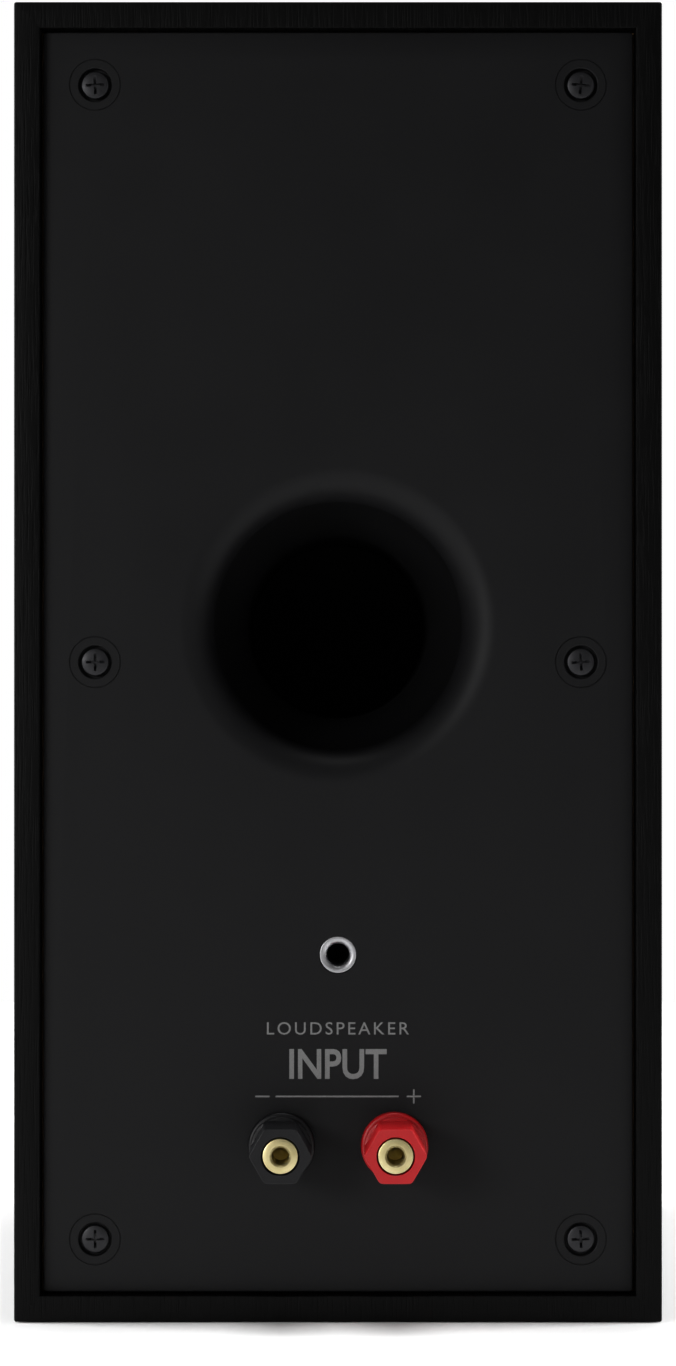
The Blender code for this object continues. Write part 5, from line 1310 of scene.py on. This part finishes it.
def buildWoofer():
    place = facingFront(cabinetSize["woofer"])
    finished("wooferBasket", wooferFrameShape(), place, [finishes["basketSteel"]], "cabinet", ["woofer_frame"],
             32)

    centre, roll = woofer["rollCentre"], woofer["rollRadius"]
    bm = bmesh.new()
    turn(bm, rollOutline(centre, roll, woofer["rubber"], woofer["surroundBase"], 50.7 * mm, woofer["coneLip"]), 144)
    bendingPiece("wooferSurround", bm, place, "rubber", "woofer_surround", "woofer_motion",
                 cabinetSize["woofer"], centre + roll, centre - roll)

    edge = centre - roll
    count = 26
    radii = [woofer["neck"] + (woofer["coneLip"] - woofer["neck"]) * step / count for step in range(count + 1)]
    front, back = [], []
    for step, radius in enumerate(radii):
        rib = 0.12 * mm * (step % 4 == 2) * (2 < step < count - 2)  # pressed rings that stiffen the cone
        front.append((radius, coneHeight(radius) - rib))
        back.append((radius, coneHeight(radius) - woofer["coneThick"] - rib))
    top = coneHeight(edge)
    bm = bmesh.new()
    turn(bm, front + [(edge, top), (edge, top - woofer["coneThick"])] + back[::-1], 144)
    finished("wooferCone", bm, place, [finishes["paper"]], "woofer_motion", ["woofer_cone"], 50)

    base = coneHeight(woofer["dustCap"]) + 0.3 * mm
    bm = bmesh.new()
    turn(bm, domeOutline(woofer["dustCap"], woofer["dustRise"], 0.5 * mm, base), 96)
    finished("wooferDustCap", bm, place, [finishes["paper"]], "woofer_motion", ["woofer_dust_cap"],
             50)
    print("woofer front done")


# The section of side-by-side windings from one height to another.
def ridges(radius, depth, start, end, count):
    points = []
    for k in range(count):
        a = start + (end - start) * k / count
        b = start + (end - start) * (k + 1) / count
        points += [(radius, a), (radius + depth, a * 0.7 + b * 0.3), (radius + depth, a * 0.3 + b * 0.7)]
    return points + [(radius, end)]


def buildWooferMotor():
    place = facingFront(cabinetSize["woofer"])
    node = "woofer_voice_coil"
    bottom, top = frontSpan(node)
    inner, outer = woofer["former"], woofer["former"] + 0.4 * mm
    bm = bmesh.new()
    outline = [(inner, top), (inner, bottom), (outer, bottom), (outer, bottom + 0.9 * mm)]
    outline += ridges(outer + 0.1 * mm, 0.45 * mm, bottom + mm, bottom + 12.9 * mm, woofer["windings"])
    turn(bm, outline + [(outer, bottom + 13 * mm), (outer, top)], 72)
    coil = finished("wooferCoil", bm, place, [finishes["foil"], finishes["copper"]], "woofer_motion", [node],
                    60)
    paintWindings(coil, cabinetSize["woofer"], outer + 0.05 * mm)

    node = "woofer_spider"
    centreLine = sum(frontSpan(node)) / 2
    first, last, edge = 16.1 * mm, 33.5 * mm, 40.0 * mm
    points = 48
    line = [(outer + 0.3 * mm, centreLine), (first - mm, centreLine)]
    for step in range(points + 1):
        t = step / points
        wave = mm * math.cos(6 * math.pi * t) * min(1.0, 8 * t, 8 * (1 - t))
        line.append((first + (last - first) * t, centreLine + wave))
    line += [(last + 1.2 * mm, centreLine), (edge, centreLine)]
    half = 0.3 * mm
    bm = bmesh.new()
    turn(bm, [(r, z + half) for r, z in line] + [(r, z - half) for r, z in reversed(line)], 96)
    bendingPiece("wooferSpider", bm, place, "spiderCloth", node, "woofer_motion",
                 cabinetSize["woofer"], 34.5 * mm, 14.0 * mm)


# Gives the faces that stand further out than a radius the piece's second material.
def paintWindings(piece, centre, radius):
    for face in piece.data.polygons:
        away = face.center - Vector(centre)
        if math.hypot(away.x, away.z) > radius:
            face.material_index = 1


# A plate, magnet or yoke of a driver as a turned ring with eased edges. The heights and the outer radius are
# the node's own.
def motorRing(node, driver, bore, material, poleRadius=0.0, plateThick=0.0):
    bottom, top = frontSpan(node)
    outer = (high(node).x - low(node).x) / 2
    ease = 0.4 * mm
    outline = [(bore, bottom, ease), (outer, bottom, ease)]
    if poleRadius:
        outline += [(outer, bottom + plateThick, ease), (poleRadius, bottom + plateThick), (poleRadius, top, ease)]
    else:
        outline.append((outer, top, ease))
    outline.append((bore, top, ease))
    bm = bmesh.new()
    turn(bm, softened(outline, 3), 96)
    words = node.split("_")
    name = words[0] + "".join(word.capitalize() for word in words[1:])
    finished(name, bm, facingFront(cabinetSize[driver]), [finishes[material]], "cabinet", [node], 40)


buildWoofer()
buildWooferMotor()
motorRing("woofer_top_plate", "woofer", 14.2 * mm, "steel")
motorRing("woofer_magnet", "woofer", 17.0 * mm, "ferrite")
motorRing("woofer_yoke", "woofer", 4.0 * mm, "steel", 12.2 * mm, 4.0 * mm)
print("woofer done")


tweeter = {
    "radius": 48.0 * mm,
    "hornMouth": 38.0 * mm,
    "hornThroat": 18.0 * mm,
    "hornDepth": 11.5 * mm,
    "wall": 2.4 * mm,
    "flange": 33.0 * mm,
    "dome": 12.3 * mm,
    "domeRise": 5.2 * mm,
    "base": -14.4 * mm,  # the height at which the dome and its suspension sit
    "terminalsInner": 31.5 * mm,
    "terminalsOuter": 38.2 * mm,
    "windings": 14,
}


# A horn in its faceplate, with the dome at its throat.
def buildTweeter():
    place = facingFront(cabinetSize["tweeter"])
    radius, mouth, throat = tweeter["radius"], tweeter["hornMouth"], tweeter["hornThroat"]
    end = -0.5 * mm - tweeter["hornDepth"]
    back = end - tweeter["wall"]
    reach = mouth - throat
    outline = [(radius, -0.5 * mm, 0.4 * mm), (radius, -3.7 * mm, 0.3 * mm)]
    outline += arc((mouth, end), (reach - tweeter["wall"], -3.7 * mm - end), 90, 172, 10)
    outline += [(tweeter["flange"], end, 0.3 * mm), (tweeter["flange"], back, 0.3 * mm), (throat, back, 0.2 * mm)]
    outline += arc((mouth, end), (reach, tweeter["hornDepth"]), 180, 90, 24)
    outline += [(r * mm, z * mm, 0.2 * mm) for r, z in ((46.3, -0.5), (46.6, -0.7), (46.9, -0.5))]  # trim line
    bm = bmesh.new()
    turn(bm, softened(outline, 4), 144)
    block = bmesh.new()
    inner, outer = tweeter["terminalsInner"], tweeter["terminalsOuter"]
    slab(block, 6 * mm, (outer - inner) / 2, 0.6 * mm, back - 3.25 * mm, back + 3.25 * mm, 0.3 * mm,
         (0, -(outer + inner) / 2))
    bm = combined(bm, [("UNION", block), ("DIFFERENCE", screwDrills("tweeter"))])
    finished("tweeterFaceplate", bm, place, [finishes["panelAbs"]], "cabinet", ["tweeter_faceplate"],
             30)

    base, dome = tweeter["base"], tweeter["dome"]
    innerEdge, outerEdge = dome + 0.3 * mm, throat - 0.3 * mm
    centre = (innerEdge + outerEdge) / 2
    bm = bmesh.new()
    turn(bm, rollOutline(centre, 1.45 * mm, 0.5 * mm, base, outerEdge, innerEdge, 10), 120)
    bendingPiece("tweeterSuspension", bm, place, "rubber", "tweeter_suspension", "tweeter_motion",
                 cabinetSize["tweeter"], centre + 1.6 * mm, centre - 1.6 * mm)
    bm = bmesh.new()
    turn(bm, domeOutline(dome, tweeter["domeRise"], 0.4 * mm, base), 120)
    finished("tweeterDome", bm, place, [finishes["silk"]], "tweeter_motion", ["tweeter_dome"], 50)

    node = "tweeter_voice_coil"
    bottom, top = frontSpan(node)
    coil = dome - 0.4 * mm
    bm = bmesh.new()
    outline = [(coil, top), (coil, bottom)]
    outline += ridges(coil + 0.5 * mm, 0.45 * mm, bottom + 0.2 * mm, top - mm, tweeter["windings"])
    turn(bm, outline + [(coil + 0.4 * mm, top - 0.9 * mm), (coil + 0.4 * mm, top)], 96)
    finished("tweeterCoil", bm, place, [finishes["copper"]], "tweeter_motion", [node], 60)


buildTweeter()
motorRing("tweeter_top_plate", "tweeter", 13.4 * mm, "steel")
motorRing("tweeter_magnet", "tweeter", 16.0 * mm, "ferrite")
motorRing("tweeter_yoke", "tweeter", 0.0, "steel", 11.4 * mm, 3.0 * mm)
print("tweeter done")


grille = {
    "bar": 12.0 * mm,
    "corner": 4.0 * mm,
    "standoff": 0.5 * mm,
    "front": 8.5 * mm,
    "crossbar": 163.75 * mm,
    "cloth": 0.6 * mm,
    "gap": 0.3 * mm,
    "pegRadius": 3.0 * mm,
    "pegLength": 9.0 * mm,
}


# A frame of four bars and a crossbar, with waisted pegs that snap in the baffle's sockets.
def buildGrilleFrame():
    halfWidth = high("grille_frame").x
    halfHeight = (high("grille_frame").z - low("grille_frame").z) / 2
    middleZ = cabinetSize["height"] / 2
    bar, corner = grille["bar"], grille["corner"]
    bm = bmesh.new()
    slab(bm, halfWidth, halfHeight, corner, grille["standoff"], grille["front"], 0.8 * mm, (0, middleZ), 6)
    holes = bmesh.new()
    edge = middleZ - halfHeight + bar
    crossbar = grille["crossbar"]
    for bottom, top in ((edge, crossbar - bar / 2), (crossbar + bar / 2, 2 * middleZ - edge)):
        rings = []
        for widen, z in ((1.0, 0.2), (0.3, 0.8), (0.0, 1.6), (0.0, 7.4), (0.3, 8.2), (1.0, 8.8)):
            loop = roundedLoop(halfWidth - bar + widen * mm, (top - bottom) / 2 + widen * mm, corner + widen * mm,
                               (0, (top + bottom) / 2), 6)
            rings.append([(x, y, z * mm) for x, y in loop])
        skin(holes, rings, loop=False)
        closedEnds(holes, rings)
    pegs = bmesh.new()
    end = grille["standoff"] - grille["pegLength"]
    r = grille["pegRadius"]
    for spot in pegSpots():
        outline = [(0, end, 0), (r * 0.8, end, 0.6 * mm), (r, end + 1.5 * mm, mm), (r * 0.9, end + 3.2 * mm, mm)]
        outline += [(r, end + 5 * mm, mm), (r, 3 * mm), (0, 3 * mm)]
        turn(pegs, softened(outline, 4, False), 40, spot)
    bm = combined(bm, [("DIFFERENCE", holes), ("UNION", pegs)])
    finished("grilleFrame", bm, facingFront((0, cabinetSize["frontFace"], 0)), [finishes["darkAbsAndPaintedShade"]], "grille",
             ["grille_frame"], 30)


# The knit, stretched over the frame and down its sides, as one thin tray.
def buildGrilleCloth():
    outerX, outerZ = high("grille_cloth").x, (high("grille_cloth").z - low("grille_cloth").z) / 2
    middleZ = cabinetSize["height"] / 2
    skirt, front = frontSpan("grille_cloth")
    thick = grille["cloth"]
    corner = grille["corner"] + grille["gap"] + thick
    rows = [(0.0, skirt), (0.0, skirt + 3 * mm), (0.0, front - 1.4 * mm)]
    rows += [(1.4 * mm * (1 - math.cos(a)), front - 1.4 * mm * (1 - math.sin(a)))
             for a in (math.pi / 10 * k for k in range(1, 6))]
    rows += [(inset * mm, front) for inset in (4, 10, 22, 38, 56)]  # rings inward, so that no face is long

    def sheetRings(shrink):
        rings = []
        for inset, z in rows:
            wide = outerX - inset - shrink * (inset < 1.4 * mm)
            tall = outerZ - inset - shrink * (inset < 1.4 * mm)
            loop = roundedLoop(wide, tall, max(corner - inset - shrink, 0.8 * mm), (0, middleZ), 6)
            height = z - (shrink if inset > 0 else 0.0)
            rings.append([(x, y, height) for x, y in loop])
        return rings

    rings = sheetRings(thick)[::-1] + sheetRings(0.0)
    bm = bmesh.new()
    skin(bm, rings, loop=False)
    closedEnds(bm, rings)
    grain = bm.loops.layers.uv.verify()
    bm.normal_update()
    for face in bm.faces:
        flat = abs(face.normal.z) > 0.5
        sideways = abs(face.normal.x) > 0.5
        for spot in face.loops:
            x, y, z = spot.vert.co
            spot[grain].uv = (x, y) if flat else ((z, y) if sideways else (x, z))
    cloth = finished("grilleCloth", bm, facingFront((0, cabinetSize["frontFace"], 0)), [finishes["knit"]], "grille",
                     ["grille_cloth"], 50, 1e-6)


buildGrilleFrame()
buildGrilleCloth()
print("grille done")


inside = {
    "gasketWidth": 5.0 * mm,
    "bobbinFlange": 1.0 * mm,
    "bobbinHole": 5.85 * mm,
    "bobbinWall": 1.6 * mm,
    "waddingLumps": 70,
    "waddingSeed": 11,
}


def buildGasket():
    halfWidth = high("rear_gasket").x
    halfHeight = (high("rear_gasket").z - low("rear_gasket").z) / 2
    bottom, top = rearSpan("rear_gasket")
    width = inside["gasketWidth"]
    section = [(0.0, bottom, 0.5 * mm), (0.0, top, 0.5 * mm), (width, top, 0.5 * mm), (width, bottom, 0.5 * mm)]
    rings = []
    for inset, z in softened(section, 3):
        loop = roundedLoop(halfWidth - inset, halfHeight - inset, 0.8 * mm, (0, cabinetSize["height"] / 2))
        rings.append([(x, y, z) for x, y in loop])
    bm = bmesh.new()
    skin(bm, rings)
    finished("rearGasket", bm, facingRear((0, cabinetSize["panelFace"], 0)), [finishes["foam"]], "cabinet",
             ["rear_gasket"], 60)


# An air coil on a bobbin.
def buildInductor():
    node = "crossover_inductor"
    centre = middle(node)
    radius = (high(node).x - low(node).x) / 2
    depth = high(node).y - low(node).y
    flange, hole = inside["bobbinFlange"], inside["bobbinHole"]
    wound = radius - inside["bobbinWall"]
    outline = [(hole, 0), (radius, 0, 0.3 * mm), (radius, flange, 0.2 * mm), (wound, flange)]
    outline += ridges(wound, 0.6 * mm, flange, depth - flange, 14)[1:]
    outline += [(radius, depth - flange, 0.2 * mm), (radius, depth, 0.3 * mm), (hole, depth)]
    bm = bmesh.new()
    turn(bm, softened(outline, 2), 72)
    place = Matrix.Translation((centre.x, low(node).y, centre.z)) @ Matrix.Rotation(-math.pi / 2, 4, "X")
    coil = finished("crossoverInductor", bm, place, [finishes["darkAbsAndPaintedShade"], finishes["copper"]], "cabinet", [node],
                    50)
    for face in coil.data.polygons:
        away = face.center - centre
        onCoil = wound - 0.2 * mm < math.hypot(away.x, away.z) < wound + 0.8 * mm
        if onCoil and abs(away.y) < depth / 2 - flange + 0.1 * mm:
            face.material_index = 1


# A can in shrunk film, drawn in at its ends.
def buildCapacitor():
    node = "crossover_capacitor"
    centre = middle(node)
    radius = (high(node).x - low(node).x) / 2
    half = (high(node).z - low(node).z) / 2
    outline = [(0, -half + 0.4 * mm), (radius - 0.9 * mm, -half + 0.4 * mm), (radius - 0.5 * mm, -half, 0.2 * mm)]
    outline += [(radius, -half + 0.8 * mm, 0.4 * mm), (radius, half - 0.8 * mm, 0.4 * mm)]
    outline += [(radius - 0.5 * mm, half, 0.2 * mm), (radius - 0.9 * mm, half - 0.4 * mm), (0, half - 0.4 * mm)]
    bm = bmesh.new()
    turn(bm, softened(outline, 3, False), 64)
    finished("crossoverCapacitor", bm, Matrix.Translation(centre), [finishes["film"]], "cabinet", [node],
             40)


# Loose fibre batting: a slab whose faces swell and dip, softest at its edges.
def buildWadding():
    node = "damping_wadding"
    centre = middle(node)
    size = high(node) - low(node)
    bm = bmesh.new()
    bmesh.ops.create_cube(bm, size=1.0)
    bmesh.ops.subdivide_edges(bm, edges=bm.edges[:], cuts=22, use_grid_fill=True)
    dice = random.Random(inside["waddingSeed"])
    lumps = [(Vector((dice.uniform(-0.5, 0.5), dice.uniform(-0.5, 0.5), dice.choice((-0.5, 0.5)))),
              dice.uniform(0.08, 0.2), dice.uniform(0.02, 0.07)) for _ in range(inside["waddingLumps"])]
    for vertex in bm.verts:
        p = vertex.co.copy()
        r = [abs(2 * c) for c in p]
        crown = (1 - r[0] ** 4) * (1 - r[1] ** 4)
        shrink = 0.90 + 0.045 * crown
        height = p.z * (0.62 + 0.3 * crown)
        for spot, wide, tall in lumps:
            near = (p - spot).length / wide
            if near < 1:
                height -= math.copysign(tall * (1 - near * near) ** 2, p.z)
        vertex.co = (p.x * shrink * size.x, p.y * shrink * size.y, height * size.z)
    wadding = finished("dampingWadding", bm, Matrix.Translation(centre), [finishes["wadding"]], "cabinet", [node],
                       180)


buildGasket()
buildInductor()
buildCapacitor()
buildWadding()

# CAD solids whose shape is right as it is.
keptNodes = {
    "rear_cleat_left": "pine",
    "rear_cleat_right": "pine",
    "crossover_board": "board",
    "crossover_resistor": "cement",
    "woofer_cable": "jacket",
    "tweeter_cable": "jacket",
}
for node, finish in keptNodes.items():
    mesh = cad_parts[node].data
    mesh.materials.clear()
    mesh.materials.append(finishes[finish])
print("inside done")
